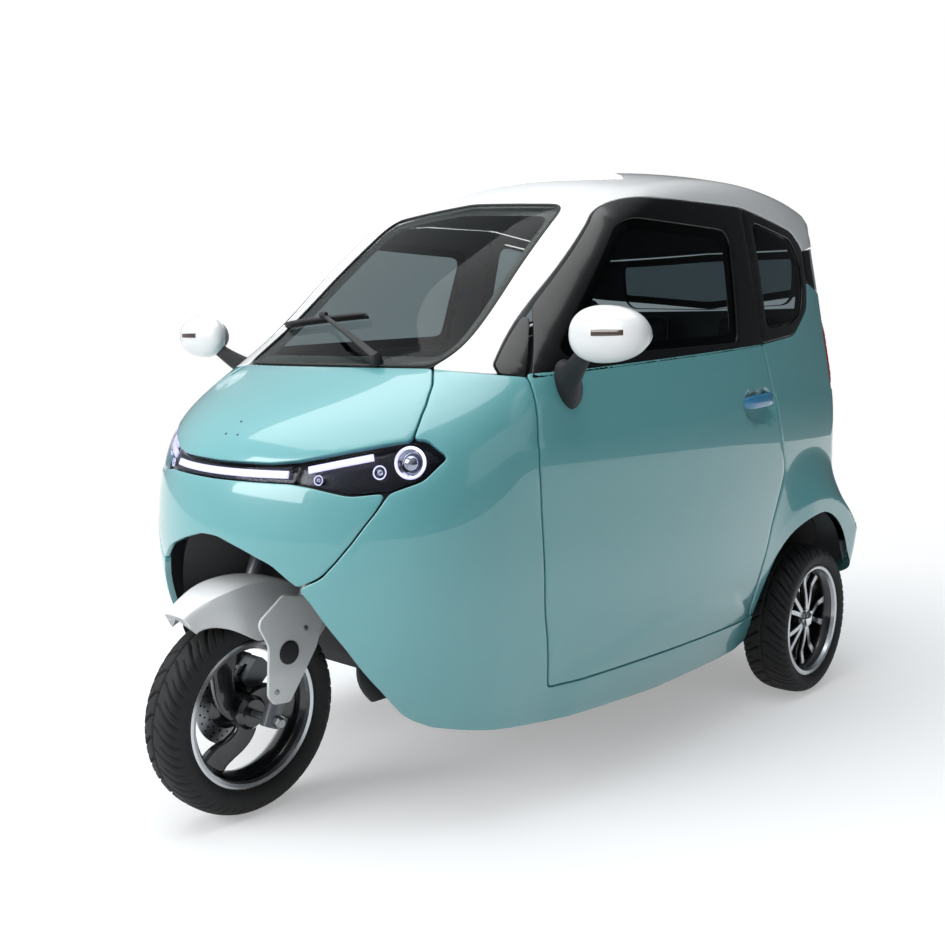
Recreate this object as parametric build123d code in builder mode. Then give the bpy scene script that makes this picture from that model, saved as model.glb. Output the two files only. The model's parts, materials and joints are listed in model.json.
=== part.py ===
from build123d import *

import os
from math import atan2, cos, hypot, radians, sin, sqrt

# Enclosed electric tricycle: one steered wheel in front, two driven wheels behind.
# Millimetres. The front faces -Y, the vehicle's left side is +X, the ground is z = 0.

# Driving dimensions
front_axle_y = -900.0
rear_axle_y = 750.0
front_tyre_r = 228.0
front_tyre_w = 110.0
rear_tyre_r = 222.0
rear_tyre_w = 135.0
rim_r = 165.0
rear_track = 1034.0
caster = 22.0
fork_offset = 35.0
fork_leg_x = 98.0
fork_leg_r = 20.0
steerer_r = 19.0
bearing_gap = 0.5
axle_r = 9.0
wall = 30.0
glass_t = 6.0
roof_crown_r = 1667.0
door_gap = 8.5
door_front_y = -545.0
sill_top_z = 312.0
waist_z = 966.0
floor_z = 300.0
floor_t = 8.0
rear_floor_z = 430.0
well_x = 372.0
arch_r = 300.0
flare_w = 46.0
arch_low_z = 262.0
flare_x = 597.0
liner_t = 5.0
rail_x = 190.0
rail_w = 40.0
mudguard_r = 302.0
mudguard_t = 4.0
plate_spacing = 160.0
plate_hole_r = 3.5
plate_z = 560.0

# Plan sections of the body. Columns: z, front_y, front_arc_r, front_corner_r, half_width,
# side_arc_r, widest_y, rear_y, rear_arc_r, rear_corner_r
body_stations = [
    (225, -790, 1100, 260, 515, 6000, 120, 1075, 2500, 150),
    (420, -945, 720, 340, 566, 6000, 120, 1120, 2200, 170),
    (680, -975, 650, 340, 577, 6000, 120, 1126, 2000, 160),
    (870, -875, 720, 330, 565, 6000, 120, 1119, 2000, 140),
    (1020, -625, 980, 230, 542, 5000, 160, 1112, 2000, 120),
    (1200, -395, 1100, 160, 508, 4000, 240, 1103, 2000, 110),
    (1400, -140, 1300, 130, 460, 3500, 340, 1080, 2000, 100),
    (1600, 120, 1500, 120, 405, 3000, 440, 1045, 2000, 90),
]

# Roof centre line. Columns: y, z
roof_stations = [
    (-450, 1240),
    (-180, 1400),
    (100, 1490),
    (400, 1528),
    (750, 1520),
    (1050, 1478),
    (1200, 1440),
]

# Outlines in side view. Columns: y, z, corner radius
door_opening = [
    (door_front_y, sill_top_z, 25),
    (door_front_y, 997, 8),
    (-95, 1391, 240),
    (446, 1412, 15),
    (458, 1040, 60),
    (560, 690, 60),
    (425, 520, 60),
    (385, sill_top_z, 25),
]
door_window = [(-432, 1009, 12), (-112, 1334, 120), (345, 1334, 40), (305, 1047, 20)]
quarter_frame_outline = [
    (400, 1405, 2),
    (872, 1388, 60),
    (914, 1240, 70),
    (835, 1078, 80),
    (400, 1030, 2),
]
quarter_window = [(500, 1378, 20), (832, 1356, 50), (872, 1240, 50), (806, 1112, 60), (500, 1078, 20)]
rear_band = [
    (905, 1238, 4),
    (905, 1312, 4),
    (1000, 1342, 40),
    (1300, 1362, 4),
    (1300, 1062, 4),
    (1000, 1205, 40),
]
belt_line = [(-900, 951), (600, 1056)]

# Outlines of one half in front view. Columns: x, z, corner radius
windscreen_half = [(0, 988, 0), (338, 988, 40), (296, 1374, 35), (0, 1396, 0)]
hood_half = [(0, 988, 0), (338, 988, 6), (412, 890, 60), (402, 800, 4), (0, 765, 0)]
light_bar_half = [(0, 787, 0), (150, 787, 30), (215, 806, 2), (215, 744, 2), (0, 747, 0)]
headlamp_outline = [
    (205, 803, 2),
    (341, 837, 60),
    (395, 839, 20),
    (438, 810, 8),
    (420, 768, 20),
    (374, 743, 20),
    (300, 735, 40),
    (205, 745, 2),
]
bumper_half = [(0, 768, 0), (380, 768, 4), (352, 690, 40), (318, 620, 60), (236, 515, 4), (0, 515, 0)]
front_arch_half = [
    (0, 627, 0),
    (72, 622, 40),
    (180, 588, 40),
    (262, 475, 60),
    (314, 350, 60),
    (300, 150, 2),
    (0, 150, 0),
]
rear_window_half = [(0, 1345, 0), (330, 1335, 40), (322, 1175, 40), (0, 1165, 0)]
tail_half = [(0, 1160, 0), (400, 1160, 10), (400, 150, 0), (0, 150, 0)]

left_wheel_x = rear_track / 2
steer_tan = sin(radians(caster)) / cos(radians(caster))


def steer_axis_y(z):
    """Y of the steering axis at height z; the axis leans back with height."""
    foot_y = front_axle_y + fork_offset / cos(radians(caster))
    return foot_y + (z - front_tyre_r) * steer_tan


def corner_centre(centre_a, radius_a, centre_b, radius_b, corner_r, toward):
    """Centre of a corner arc tangent inside two larger arcs, on the side given by toward."""
    dx = centre_b[0] - centre_a[0]
    dy = centre_b[1] - centre_a[1]
    gap = hypot(dx, dy)
    a = radius_a - corner_r
    b = radius_b - corner_r
    along = (gap * gap + a * a - b * b) / (2 * gap)
    across = sqrt(a * a - along * along)
    ex, ey = dx / gap, dy / gap
    choices = [
        (centre_a[0] + ex * along - side * ey * across, centre_a[1] + ey * along + side * ex * across)
        for side in (1, -1)
    ]
    return max(choices, key=lambda place: toward * place[1])


def point_toward(centre, radius, target):
    """Point at the given radius from centre, in the direction of target."""
    gap = hypot(target[0] - centre[0], target[1] - centre[1])
    return (
        centre[0] + radius * (target[0] - centre[0]) / gap,
        centre[1] + radius * (target[1] - centre[1]) / gap,
    )


def arc_points(centre, radius, start, end):
    """Start, middle and end of an arc about centre."""
    first = atan2(start[1] - centre[1], start[0] - centre[0])
    last = atan2(end[1] - centre[1], end[0] - centre[0])
    middle = (first + last) / 2
    return start, (centre[0] + radius * cos(middle), centre[1] + radius * sin(middle)), end


def half_section(row, inset):
    """Left half of the body's plan section: five tangent arcs closed on the centre plane."""
    z, front_y, front_r, front_rc, half_w, side_r, wide_y, rear_y, rear_r, rear_rc = row
    front_c = (0, front_y + front_r)
    side_c = (half_w - side_r, wide_y)
    rear_c = (0, rear_y - rear_r)
    nose_c = corner_centre(front_c, front_r, side_c, side_r, front_rc, -1)
    tail_c = corner_centre(side_c, side_r, rear_c, rear_r, rear_rc, 1)
    front_r, front_rc, side_r, rear_r, rear_rc = (
        radius - inset for radius in (front_r, front_rc, side_r, rear_r, rear_rc)
    )
    p0 = (0, front_c[1] - front_r)
    p1 = point_toward(front_c, front_r, nose_c)
    p2 = point_toward(side_c, side_r, nose_c)
    p3 = point_toward(side_c, side_r, tail_c)
    p4 = point_toward(rear_c, rear_r, tail_c)
    p5 = (0, rear_c[1] + rear_r)
    with BuildSketch(Plane.XY.offset(z)) as section:
        with BuildLine():
            ThreePointArc(*arc_points(front_c, front_r, p0, p1))
            ThreePointArc(*arc_points(nose_c, front_rc, p1, p2))
            ThreePointArc(*arc_points(side_c, side_r, p2, p3))
            ThreePointArc(*arc_points(tail_c, rear_rc, p3, p4))
            ThreePointArc(*arc_points(rear_c, rear_r, p4, p5))
            Line(p5, p0)
        make_face()
    return section.sketch


def roof_block(drop):
    """Everything under the crowned roof surface, lowered by drop, on the left half."""
    half_span = 620
    fall = roof_crown_r - sqrt(roof_crown_r**2 - half_span**2)
    middle_fall = roof_crown_r - sqrt(roof_crown_r**2 - (half_span / 2) ** 2)
    sections = []
    for y, top in roof_stations:
        with BuildSketch(Plane.XZ.offset(-y)) as section:
            with BuildLine():
                z = top - drop
                ThreePointArc((0, z), (half_span / 2, z - middle_fall), (half_span, z - fall))
                Polyline((half_span, z - fall), (half_span, 200), (0, 200), (0, z))
            make_face()
        sections.append(section.sketch)
    first_y, first_top = roof_stations[0]
    with BuildPart() as block:
        loft(sections=sections)
        with BuildSketch(Plane.XZ.offset(-first_y)):
            with BuildLine():
                front_top = first_top - 60
                Polyline((0, 200), (half_span, 200), (half_span, front_top), (0, front_top), close=True)
            make_face()
        extrude(amount=800)
    return block.part


def half_body(inset):
    """Solid left half of the body, every face inset by the same amount."""
    with BuildPart() as body:
        loft(sections=[half_section(row, inset) for row in body_stations])
        add(roof_block(inset), mode=Mode.INTERSECT)
    return body.part


def outline_block(plane, outline, depth):
    """Solid from an outline of points with corner radii, extruded from a plane."""
    points = [(first, second) for first, second, radius in outline]
    radii = [radius for first, second, radius in outline]
    with BuildPart() as block:
        with BuildSketch(plane) as face:
            with BuildLine():
                FilletPolyline(*points, radius=radii, close=True)
            make_face()
        extrude(amount=depth)
    return block.part


def side_block(outline, x_from=0.0, x_to=700.0):
    """Block with a side-view outline (y, z, radius) between two x places."""
    return outline_block(Plane.YZ.offset(x_from), outline, x_to - x_from)


def front_block(outline, y_back=-50.0, y_front=-1300.0):
    """Block with a front-view outline (x, z, radius) between two y places."""
    return outline_block(Plane.XZ.offset(-y_back), outline, y_back - y_front)


def box_block(x0, x1, y0, y1, z0, z1):
    """Plain box between two corners."""
    with BuildPart() as block:
        with Locations(((x0 + x1) / 2, (y0 + y1) / 2, (z0 + z1) / 2)):
            Box(x1 - x0, y1 - y0, z1 - z0)
    return block.part


def turned(solid):
    """The same solid on the vehicle's right side."""
    return mirror(solid, about=Plane.YZ, mode=Mode.PRIVATE)


def both_sides(half):
    """A left-side solid with its mirror image, joined where they meet on the centre plane."""
    with BuildPart() as both:
        add(half)
        mirror(about=Plane.YZ)
    return both.part


def carve(base, keep=(), remove=()):
    """Base kept inside every block of keep and outside every block of remove."""
    with BuildPart() as piece:
        add(base)
        for block in keep:
            add(block, mode=Mode.INTERSECT)
        for block in remove:
            add(block, mode=Mode.SUBTRACT)
    return piece.part


def save(name, solid):
    """Label a finished piece and write it under its own name."""
    solid.label = name
    export_step(solid, f"parts/{name}.step")


os.makedirs("parts", exist_ok=True)

# Body shell: walls of even thickness, with the outermost layer kept for glass
outer_body = half_body(0)
inner_body = half_body(wall)
with BuildPart() as shell:
    add(outer_body)
    add(inner_body, mode=Mode.SUBTRACT)
with BuildPart() as glass_layer:
    add(outer_body)
    add(half_body(glass_t), mode=Mode.SUBTRACT)

# Blocks that divide the shell into panels
door_block = side_block(door_opening)
quarter_block = side_block(quarter_frame_outline)
windscreen_block = front_block(windscreen_half)
hood_block = front_block(hood_half)
light_bar_block = front_block(light_bar_half)
headlamp_block = front_block(headlamp_outline)
bumper_block = front_block(bumper_half)
front_arch_block = front_block(front_arch_half)
front_zone = box_block(-1, 700, -1300, door_front_y, 100, waist_z)
front_blocks = [hood_block, light_bar_block, headlamp_block, bumper_block, front_arch_block]
roof_floor_z = 1270
rear_zone = side_block([(380, 150, 0), (1300, 150, 0), (1300, roof_floor_z, 0), (380, roof_floor_z, 0)], -1)
tail_block = front_block(tail_half, y_back=1300, y_front=900)
rear_window_block = front_block(rear_window_half, y_back=1300, y_front=900)
sill_under = side_block([(-660, 150, 0), (1300, 150, 0), (1300, 300, 0), (430, 288, 0), (-660, 224, 0)], -1)
with BuildPart() as rear_arch:
    with BuildSketch(Plane.YZ.offset(well_x)):
        with Locations((rear_axle_y, rear_tyre_r + 15)):
            Circle(arch_r)
        with Locations((rear_axle_y, rear_tyre_r + 15 - arch_r)):
            Rectangle(2 * arch_r - 20, 2 * arch_r)
    extrude(amount=300)
rear_arch_block = rear_arch.part

# Front panels
lamp_blocks = [light_bar_block, headlamp_block]
save("hood", both_sides(carve(shell.part, keep=[hood_block], remove=lamp_blocks)))
bumper_half_part = carve(shell.part, keep=[bumper_block], remove=lamp_blocks + [front_arch_block])
save("front_bumper", both_sides(bumper_half_part))
front_quarter_parts = carve(shell.part, keep=[front_zone], remove=front_blocks).solids()
front_quarter = front_quarter_parts.sort_by(SortBy.VOLUME)[-1]
save("front_quarter_left", front_quarter)
save("front_quarter_right", turned(front_quarter))

# White upper frame: roof, windscreen pillars and rear corners
roof_side = carve(shell.part, remove=[box_block(-1, 700, -1300, 1300, 100, waist_z)])
rear_glass_half = carve(glass_layer.part, keep=[side_block(rear_band, -1)])
roof_openings = [door_block, quarter_block, windscreen_block, hood_block, rear_zone, rear_window_block]
roof_half = carve(roof_side, remove=roof_openings + [rear_glass_half])
save("roof_frame", both_sides(roof_half))

# Rear panels with the wheel arch flare
with BuildPart() as flare:
    with BuildSketch(Plane.YZ.offset(500)):
        with Locations((rear_axle_y, rear_tyre_r + 15)):
            Circle(arch_r + flare_w)
    extrude(amount=flare_x - 500)
    outer_edge = flare.faces().sort_by(Axis.X)[-1].edges()
    chamfer(outer_edge, length=18)
    add(rear_arch_block, mode=Mode.SUBTRACT)
    add(inner_body, mode=Mode.SUBTRACT)
    add(box_block(400, 700, 0, 1300, -200, arch_low_z), mode=Mode.SUBTRACT)
    add(shell.part, mode=Mode.SUBTRACT)
with BuildPart() as rear_quarter:
    add(shell.part)
    add(rear_zone, mode=Mode.INTERSECT)
    for block in (door_block, quarter_block, tail_block, rear_window_block, rear_arch_block, sill_under):
        add(block, mode=Mode.SUBTRACT)
    add(rear_glass_half, mode=Mode.SUBTRACT)
    add(flare.part)
tail_lamp_block = box_block(0, 700, 1000, 1300, 900, 1120)
tail_lamp = carve(rear_quarter.part, keep=[tail_lamp_block])
with BuildPart() as rear_quarter_cut:
    add(rear_quarter.part)
    add(tail_lamp_block, mode=Mode.SUBTRACT)
save("tail_lamps", both_sides(tail_lamp))
save("rear_quarter_left", rear_quarter_cut.part)
save("rear_quarter_right", turned(rear_quarter_cut.part))
tail_openings = [rear_window_block, sill_under, rear_glass_half]
tail_half_part = carve(shell.part, keep=[rear_zone, tail_block], remove=tail_openings)
with BuildPart() as tail_panel:
    add(both_sides(tail_half_part))
    with BuildSketch(Plane.XZ.offset(-1300)):
        with Locations((-plate_spacing / 2, plate_z), (plate_spacing / 2, plate_z)):
            Circle(plate_hole_r)
    extrude(amount=300, mode=Mode.SUBTRACT)
save("tail_panel", tail_panel.part)

# Sills under the doors
sill = carve(
    shell.part,
    keep=[box_block(0, 700, door_front_y, 380, 100, sill_top_z)],
    remove=[sill_under],
)
save("sills", both_sides(sill))

# Quarter frames carry the fixed side windows and the door's rear pillar
quarter_window_block = side_block(quarter_window)
quarter_openings = [door_block, quarter_window_block, rear_glass_half]
quarter_frame = carve(shell.part, keep=[quarter_block], remove=quarter_openings)
save("quarter_frames", both_sides(quarter_frame))
save("quarter_glass", both_sides(carve(glass_layer.part, keep=[quarter_window_block])))
save("windscreen", both_sides(carve(glass_layer.part, keep=[windscreen_block])))
save("rear_glass", both_sides(rear_glass_half))

# Lamps
save("light_bar", both_sides(carve(shell.part, keep=[light_bar_block], remove=[headlamp_block])))
save("headlamps", both_sides(carve(shell.part, keep=[headlamp_block])))

# Doors
belt_outline = [(y, z, 0) for y, z in belt_line] + [(belt_line[1][0], 1600, 0), (belt_line[0][0], 1600, 0)]
above_belt = side_block(belt_outline)
with BuildPart() as door_prism:
    with BuildSketch(Plane.YZ):
        with BuildLine():
            FilletPolyline(
                *[(y, z) for y, z, radius in door_opening],
                radius=[radius for y, z, radius in door_opening],
                close=True,
            )
        make_face()
        offset(amount=-door_gap, kind=Kind.INTERSECTION)
    extrude(amount=700)
door_window_block = side_block(door_window)
door_half = carve(shell.part, keep=[door_prism.part])
door_skin = carve(door_half, remove=[above_belt])
door_frame = carve(door_half, keep=[above_belt], remove=[door_window_block])
door_glass = carve(glass_layer.part, keep=[door_window_block])
for side, place in (("left", lambda solid: solid), ("right", turned)):
    save(f"door_{side}", place(door_skin))
    save(f"door_frame_{side}", place(door_frame))
    save(f"door_glass_{side}", place(door_glass))

steer_foot_y = steer_axis_y(front_tyre_r)
steer_plane = Plane(
    origin=(0, steer_foot_y, front_tyre_r),
    x_dir=(1, 0, 0),
    z_dir=(0, sin(radians(caster)), cos(radians(caster))),
)


def steer_rod(radius, low, high, x=0.0, forward=0.0):
    """Rod along the steering axis between two distances from the wheel's height."""
    with BuildPart() as rod:
        with BuildSketch(steer_plane.offset(low)):
            with Locations((x, -forward)):
                Circle(radius)
        extrude(amount=high - low)
    return rod.part


# Chassis: two rails that rise over the rear axle, cross members and the steering head
rail_top_z = floor_z - floor_t
rail_h = 40
rear_rail_top = rear_floor_z - floor_t
rail_outline = [
    (-575, rail_top_z - rail_h, 4),
    (400, rail_top_z - rail_h, 30),
    (455, rear_rail_top - rail_h, 30),
    (1040, rear_rail_top - rail_h, 4),
    (1040, rear_rail_top, 4),
    (432, rear_rail_top, 20),
    (380, rail_top_z, 20),
    (-575, rail_top_z, 4),
]
head_low = 420
head_high = 600
brace_x = 36
brace_t = 8
with BuildPart() as chassis_half:
    add(side_block(rail_outline, rail_x - rail_w / 2, rail_x + rail_w / 2))
    for cross_y in (-560, -120, 330):
        add(box_block(-1, 700, cross_y - 20, cross_y + 20, rail_top_z - rail_h + 4, rail_top_z))
    for cross_y in (520, 980):
        add(box_block(-1, rail_x, cross_y - 15, cross_y + 15, rear_rail_top - rail_h + 4, rear_rail_top))
    add(
        side_block(
            [
                (-580, rail_top_z - rail_h + 4, 2),
                (-540, rail_top_z - rail_h + 4, 2),
                (-540, 640, 20),
                (steer_axis_y(780), 790, 20),
                (steer_axis_y(650) - 10, 655, 10),
                (-584, 645, 20),
            ],
            brace_x,
            brace_x + brace_t,
        )
    )
    add(inner_body, mode=Mode.INTERSECT)
with BuildPart() as chassis:
    add(both_sides(chassis_half.part))
    add(steer_rod(brace_x + 1, head_low, head_high))
    add(steer_rod(steerer_r + bearing_gap, head_low - 50, head_high + 50), mode=Mode.SUBTRACT)
save("chassis_frame", chassis.part)

# Floor, inner arches and dashboard, trimmed to the inside of the shell
front_well_back_y = -592
liner_top_z = 640
floor_half = carve(
    inner_body,
    keep=[box_block(-1, 700, front_well_back_y, 440, floor_z - floor_t, floor_z)],
)
rear_floor_half = carve(
    inner_body,
    keep=[box_block(-1, well_x - liner_t, 440, 1300, rear_floor_z - floor_t, rear_floor_z)],
)
with BuildPart() as floor_pan:
    add(floor_half)
    add(rear_floor_half)
    add(box_block(-1, well_x - liner_t, 440 - floor_t, 440, floor_z - floor_t, rear_floor_z))
    mirror(about=Plane.YZ)
    add(chassis.part, mode=Mode.SUBTRACT)
save("floor_pan", floor_pan.part)

with BuildPart() as rear_liner:
    liner_reach = arch_r + liner_t
    front_end_y = rear_axle_y - liner_reach
    add(box_block(well_x - liner_t, 700, front_end_y, rear_axle_y + liner_reach, arch_low_z, 600))
    add(inner_body, mode=Mode.INTERSECT)
    with BuildSketch(Plane.YZ.offset(well_x - liner_t)):
        with Locations((rear_axle_y, rear_tyre_r + 15)):
            Circle(arch_r + liner_t)
    extrude(amount=400, mode=Mode.INTERSECT)
    add(rear_arch_block, mode=Mode.SUBTRACT)
save("rear_arch_liners", both_sides(rear_liner.part))

# Liner of the front wheel arch: a tunnel behind the arch, closed at the back
liner_outer = [
    (-1, liner_top_z, 0),
    (120, liner_top_z, 90),
    (318, 470, 90),
    (318, floor_z - floor_t, 0),
    (-1, floor_z - floor_t, 0),
]
liner_inner = [
    (-1, liner_top_z - liner_t, 0),
    (118, liner_top_z - liner_t, 86),
    (318 - liner_t, 468, 86),
    (318 - liner_t, floor_z - floor_t - 5, 0),
    (-1, floor_z - floor_t - 5, 0),
]
with BuildPart() as liner_half:
    add(front_block(liner_outer, y_back=front_well_back_y, y_front=-1000))
    add(front_block(liner_inner, y_back=front_well_back_y - liner_t, y_front=-1100), mode=Mode.SUBTRACT)
    add(inner_body, mode=Mode.INTERSECT)
    add(steer_rod(36, 200, 600), mode=Mode.SUBTRACT)
    add(chassis.part, mode=Mode.SUBTRACT)
save("front_arch_liner", both_sides(liner_half.part))

dash_top_z = 880
with BuildPart() as dash_half:
    add(
        side_block(
            [
                (-900, 700, 0),
                (-600, 690, 40),
                (-560, 760, 30),
                (-562, dash_top_z - 18, 40),
                (-640, dash_top_z, 60),
                (-900, dash_top_z + 20, 0),
            ],
            -1,
        )
    )
    add(inner_body, mode=Mode.INTERSECT)
    add(box_block(-1, 62, -1000, -400, 600, 1000), mode=Mode.SUBTRACT)
save("dashboard", both_sides(dash_half.part))

# Seats and battery
seat_x = 215
battery_top = floor_z + 150
save("battery_pack", box_block(-190, 190, -110, 290, floor_z, battery_top))
with BuildPart() as front_seat:
    with BuildSketch(Plane.YZ.offset(-seat_x)):
        with BuildLine():
            FilletPolyline(
                (-130, battery_top),
                (300, battery_top),
                (400, 960),
                (320, 975),
                (245, 580),
                (-130, 560),
                radius=[20, 30, 35, 30, 40, 45],
                close=True,
            )
        make_face()
    extrude(amount=2 * seat_x)
save("front_seat", front_seat.part)
with BuildPart() as rear_seat:
    with BuildSketch(Plane.YZ.offset(-350)):
        with BuildLine():
            FilletPolyline(
                (520, rear_floor_z),
                (985, rear_floor_z),
                (1030, 1010),
                (945, 1020),
                (880, 600),
                (520, 590),
                radius=[20, 20, 35, 30, 40, 45],
                close=True,
            )
        make_face()
    extrude(amount=700)
    for x in (-190, 190):
        with BuildSketch(Plane.XY.offset(1000)):
            with Locations((x, 990)):
                RectangleRounded(190, 62, 28)
        extrude(amount=140)
save("rear_seat", rear_seat.part)

# Rear axle with its motor, on two leaf springs
axle_end_x = left_wheel_x - rear_tyre_w / 2 - 12
axle_tube_r = 28
axle_case_r = 88
motor_r = 68
with BuildPart() as rear_axle:
    with BuildSketch(Plane.YZ.offset(-axle_end_x)):
        with Locations((rear_axle_y, rear_tyre_r)):
            Circle(axle_tube_r)
    extrude(amount=2 * axle_end_x)
    with BuildSketch(Plane.YZ.offset(-70)):
        with Locations((rear_axle_y, rear_tyre_r)):
            Circle(axle_case_r)
    extrude(amount=140)
    case_edges = rear_axle.faces().filter_by(Plane.YZ).edges().filter_by(GeomType.CIRCLE)
    fillet(case_edges.filter_by(lambda edge: abs(edge.radius - axle_case_r) < 1), radius=25)
    for x in (-rail_x, rail_x):
        with Locations((x, rear_axle_y, rear_tyre_r + 14)):
            Box(52, 80, 28)
    for side in (-1, 1):
        with BuildSketch(Plane.YZ.offset(side * axle_end_x - 5)):
            with Locations((rear_axle_y, rear_tyre_r)):
                Circle(55)
        extrude(amount=10)
        with BuildSketch(Plane.YZ.offset(side * (axle_end_x + 50) - 50)):
            with Locations((rear_axle_y, rear_tyre_r)):
                Circle(axle_r + 5)
        extrude(amount=100)
save("rear_axle", rear_axle.part)
with BuildPart() as motor:
    with BuildSketch(Plane.XZ.offset(-(rear_axle_y - 60))):
        with Locations((0, rear_tyre_r)):
            Circle(motor_r)
    extrude(amount=200)
    add(rear_axle.part, mode=Mode.SUBTRACT)
    with BuildSketch(Plane.XZ.offset(-(rear_axle_y - 120))):
        with Locations((0, rear_tyre_r)):
            Circle(motor_r + 10)
    extrude(amount=110)
save("rear_motor", motor.part)
spring_low = rear_tyre_r + 28
spring_end = rear_rail_top - rail_h - 26
spring_reach = 255
leaf_t = 14
with BuildPart() as spring:
    with BuildSketch(Plane.YZ.offset(rail_x - 22)):
        with BuildLine():
            leaf = ThreePointArc(
                (rear_axle_y - spring_reach, spring_end),
                (rear_axle_y, spring_low),
                (rear_axle_y + spring_reach, spring_end),
            )
            upper = ThreePointArc(
                (rear_axle_y - spring_reach, spring_end + leaf_t),
                (rear_axle_y, spring_low + leaf_t + 4),
                (rear_axle_y + spring_reach, spring_end + leaf_t),
            )
            Line(leaf @ 0, upper @ 0)
            Line(leaf @ 1, upper @ 1)
        make_face()
    extrude(amount=44)
    for end in (-1, 1):
        with Locations((rail_x, rear_axle_y + end * (spring_reach - 7), spring_end + 13)):
            Box(36, 14, 26)
save("leaf_springs", both_sides(spring.part))

# Fork: steerer, crown, two legs and the front axle
crown_low = 345
with BuildPart() as fork:
    add(steer_rod(steerer_r, crown_low, head_high + 60))
    with BuildSketch(steer_plane.offset(crown_low)):
        with BuildLine():
            FilletPolyline(
                (-fork_leg_x - 30, -fork_offset - 30),
                (fork_leg_x + 30, -fork_offset - 30),
                (fork_leg_x + 30, -fork_offset + 30),
                (40, 32),
                (-40, 32),
                (-fork_leg_x - 30, -fork_offset + 30),
                radius=18,
                close=True,
            )
        make_face()
    extrude(amount=26)
    add(steer_rod(30, crown_low + 26, head_low - 3))
    for x in (-fork_leg_x, fork_leg_x):
        add(steer_rod(fork_leg_r, -30, crown_low, x=x, forward=fork_offset))
    with BuildSketch(Plane.YZ.offset(-fork_leg_x - 26)):
        with Locations((front_axle_y, front_tyre_r)):
            Circle(axle_r)
    extrude(amount=2 * fork_leg_x + 52)
save("fork", fork.part)

# Front mudguard: a curved guard with side plates that bolt to the fork legs
guard_half_w = 80
guard_depth = 68
guard_corner_r = 34


def guard_ring(inset):
    """Ring round the front wheel with rounded outer corners, inset from the guard's skin."""
    with BuildPart() as ring:
        with BuildSketch(Plane.XY):
            with BuildLine():
                side = guard_half_w - inset
                top = mudguard_r - inset
                FilletPolyline(
                    (-side, top - guard_depth - 2 * inset),
                    (-side, top),
                    (side, top),
                    (side, top - guard_depth - 2 * inset),
                    radius=guard_corner_r - inset,
                )
                Line((side, top - guard_depth - 2 * inset), (-side, top - guard_depth - 2 * inset))
            make_face()
        revolve(axis=Axis.X)
    return ring.part.moved(Location((0, front_axle_y, front_tyre_r)))


with BuildPart() as mudguard:
    add(guard_ring(0))
    add(guard_ring(mudguard_t), mode=Mode.SUBTRACT)
    with BuildSketch(Plane.YZ.offset(-300)):
        with BuildLine():
            Polyline(
                (front_axle_y, front_tyre_r),
                (front_axle_y - 500, front_tyre_r + 510),
                (front_axle_y, front_tyre_r + 700),
                (front_axle_y + 500, front_tyre_r + 420),
                close=True,
            )
        make_face()
    extrude(amount=600, mode=Mode.INTERSECT)
    add(fork.part, mode=Mode.SUBTRACT)
save("front_mudguard", mudguard.part.solids().sort_by(SortBy.VOLUME)[-1])

# Handlebar above the dashboard
bar_low = head_high + 60
bar_z = front_tyre_r + (bar_low + 60) * cos(radians(caster))
bar_y = steer_axis_y(bar_z)
bar_r = 11
clamp_r = 26
grip_x = 285
grip_back = 175
grip_drop = 30
bend_x = 150
bend_back = 70
with BuildPart() as handlebar:
    add(steer_rod(clamp_r, bar_low, bar_low + 70))
    with BuildLine() as bar_path:
        FilletPolyline(
            (-grip_x, bar_y + grip_back, bar_z - grip_drop),
            (-bend_x, bar_y + bend_back, bar_z),
            (-bend_x / 2, bar_y, bar_z),
            (bend_x / 2, bar_y, bar_z),
            (bend_x, bar_y + bend_back, bar_z),
            (grip_x, bar_y + grip_back, bar_z - grip_drop),
            radius=40,
        )
    with BuildSketch(Plane(origin=bar_path.line @ 0, z_dir=bar_path.line % 0)):
        Circle(bar_r)
    sweep(path=bar_path.line)
save("handlebar", handlebar.part)

# Wheels
hub_half = 62


def tyre(radius, width, axle_y, centre_x, shoulder):
    """Tyre as a ring round the rim, with a rounded tread."""
    half = width / 2
    bead = half - 14
    with BuildPart() as ring:
        with BuildSketch(Plane.XY):
            with BuildLine():
                Polyline((-bead, rim_r + 0.5), (bead, rim_r + 0.5), (half, rim_r + shoulder))
                ThreePointArc(
                    (half, rim_r + shoulder), (half * 0.72, radius - (radius - rim_r) * 0.13), (0, radius)
                )
                ThreePointArc(
                    (0, radius), (-half * 0.72, radius - (radius - rim_r) * 0.13), (-half, rim_r + shoulder)
                )
                Line((-half, rim_r + shoulder), (-bead, rim_r + 0.5))
            make_face()
        revolve(axis=Axis.X)
    return ring.part.moved(Location((centre_x, axle_y, radius)))


def rim(width, bore, spokes, spoke_w, disc_x, outer_x, hub_x):
    """Cast rim: barrel, spokes, hub and bore; disc_x places the spokes along the axle."""
    half = width / 2 - 14
    with BuildPart() as wheel:
        with BuildSketch(Plane.XY):
            with BuildLine():
                Polyline(
                    (-half, rim_r),
                    (half, rim_r),
                    (half, rim_r - 8),
                    (half - 14, rim_r - 22),
                    (-half + 14, rim_r - 22),
                    (-half, rim_r - 8),
                    close=True,
                )
            make_face()
        revolve(axis=Axis.X)
        with BuildSketch(Plane.YZ.offset(hub_x[0])):
            Circle(32)
        extrude(amount=hub_x[1] - hub_x[0])
        with BuildSketch(Plane.YZ.offset(disc_x)):
            for angle in spokes:
                with Locations(Location((0, 0), angle)):
                    with Locations(((rim_r - 20) / 2, 0)):
                        Rectangle(rim_r - 18, spoke_w)
        extrude(amount=outer_x)
        with BuildSketch(Plane.YZ.offset(-200)):
            Circle(bore)
        extrude(amount=400, mode=Mode.SUBTRACT)
    return wheel.part


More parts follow.
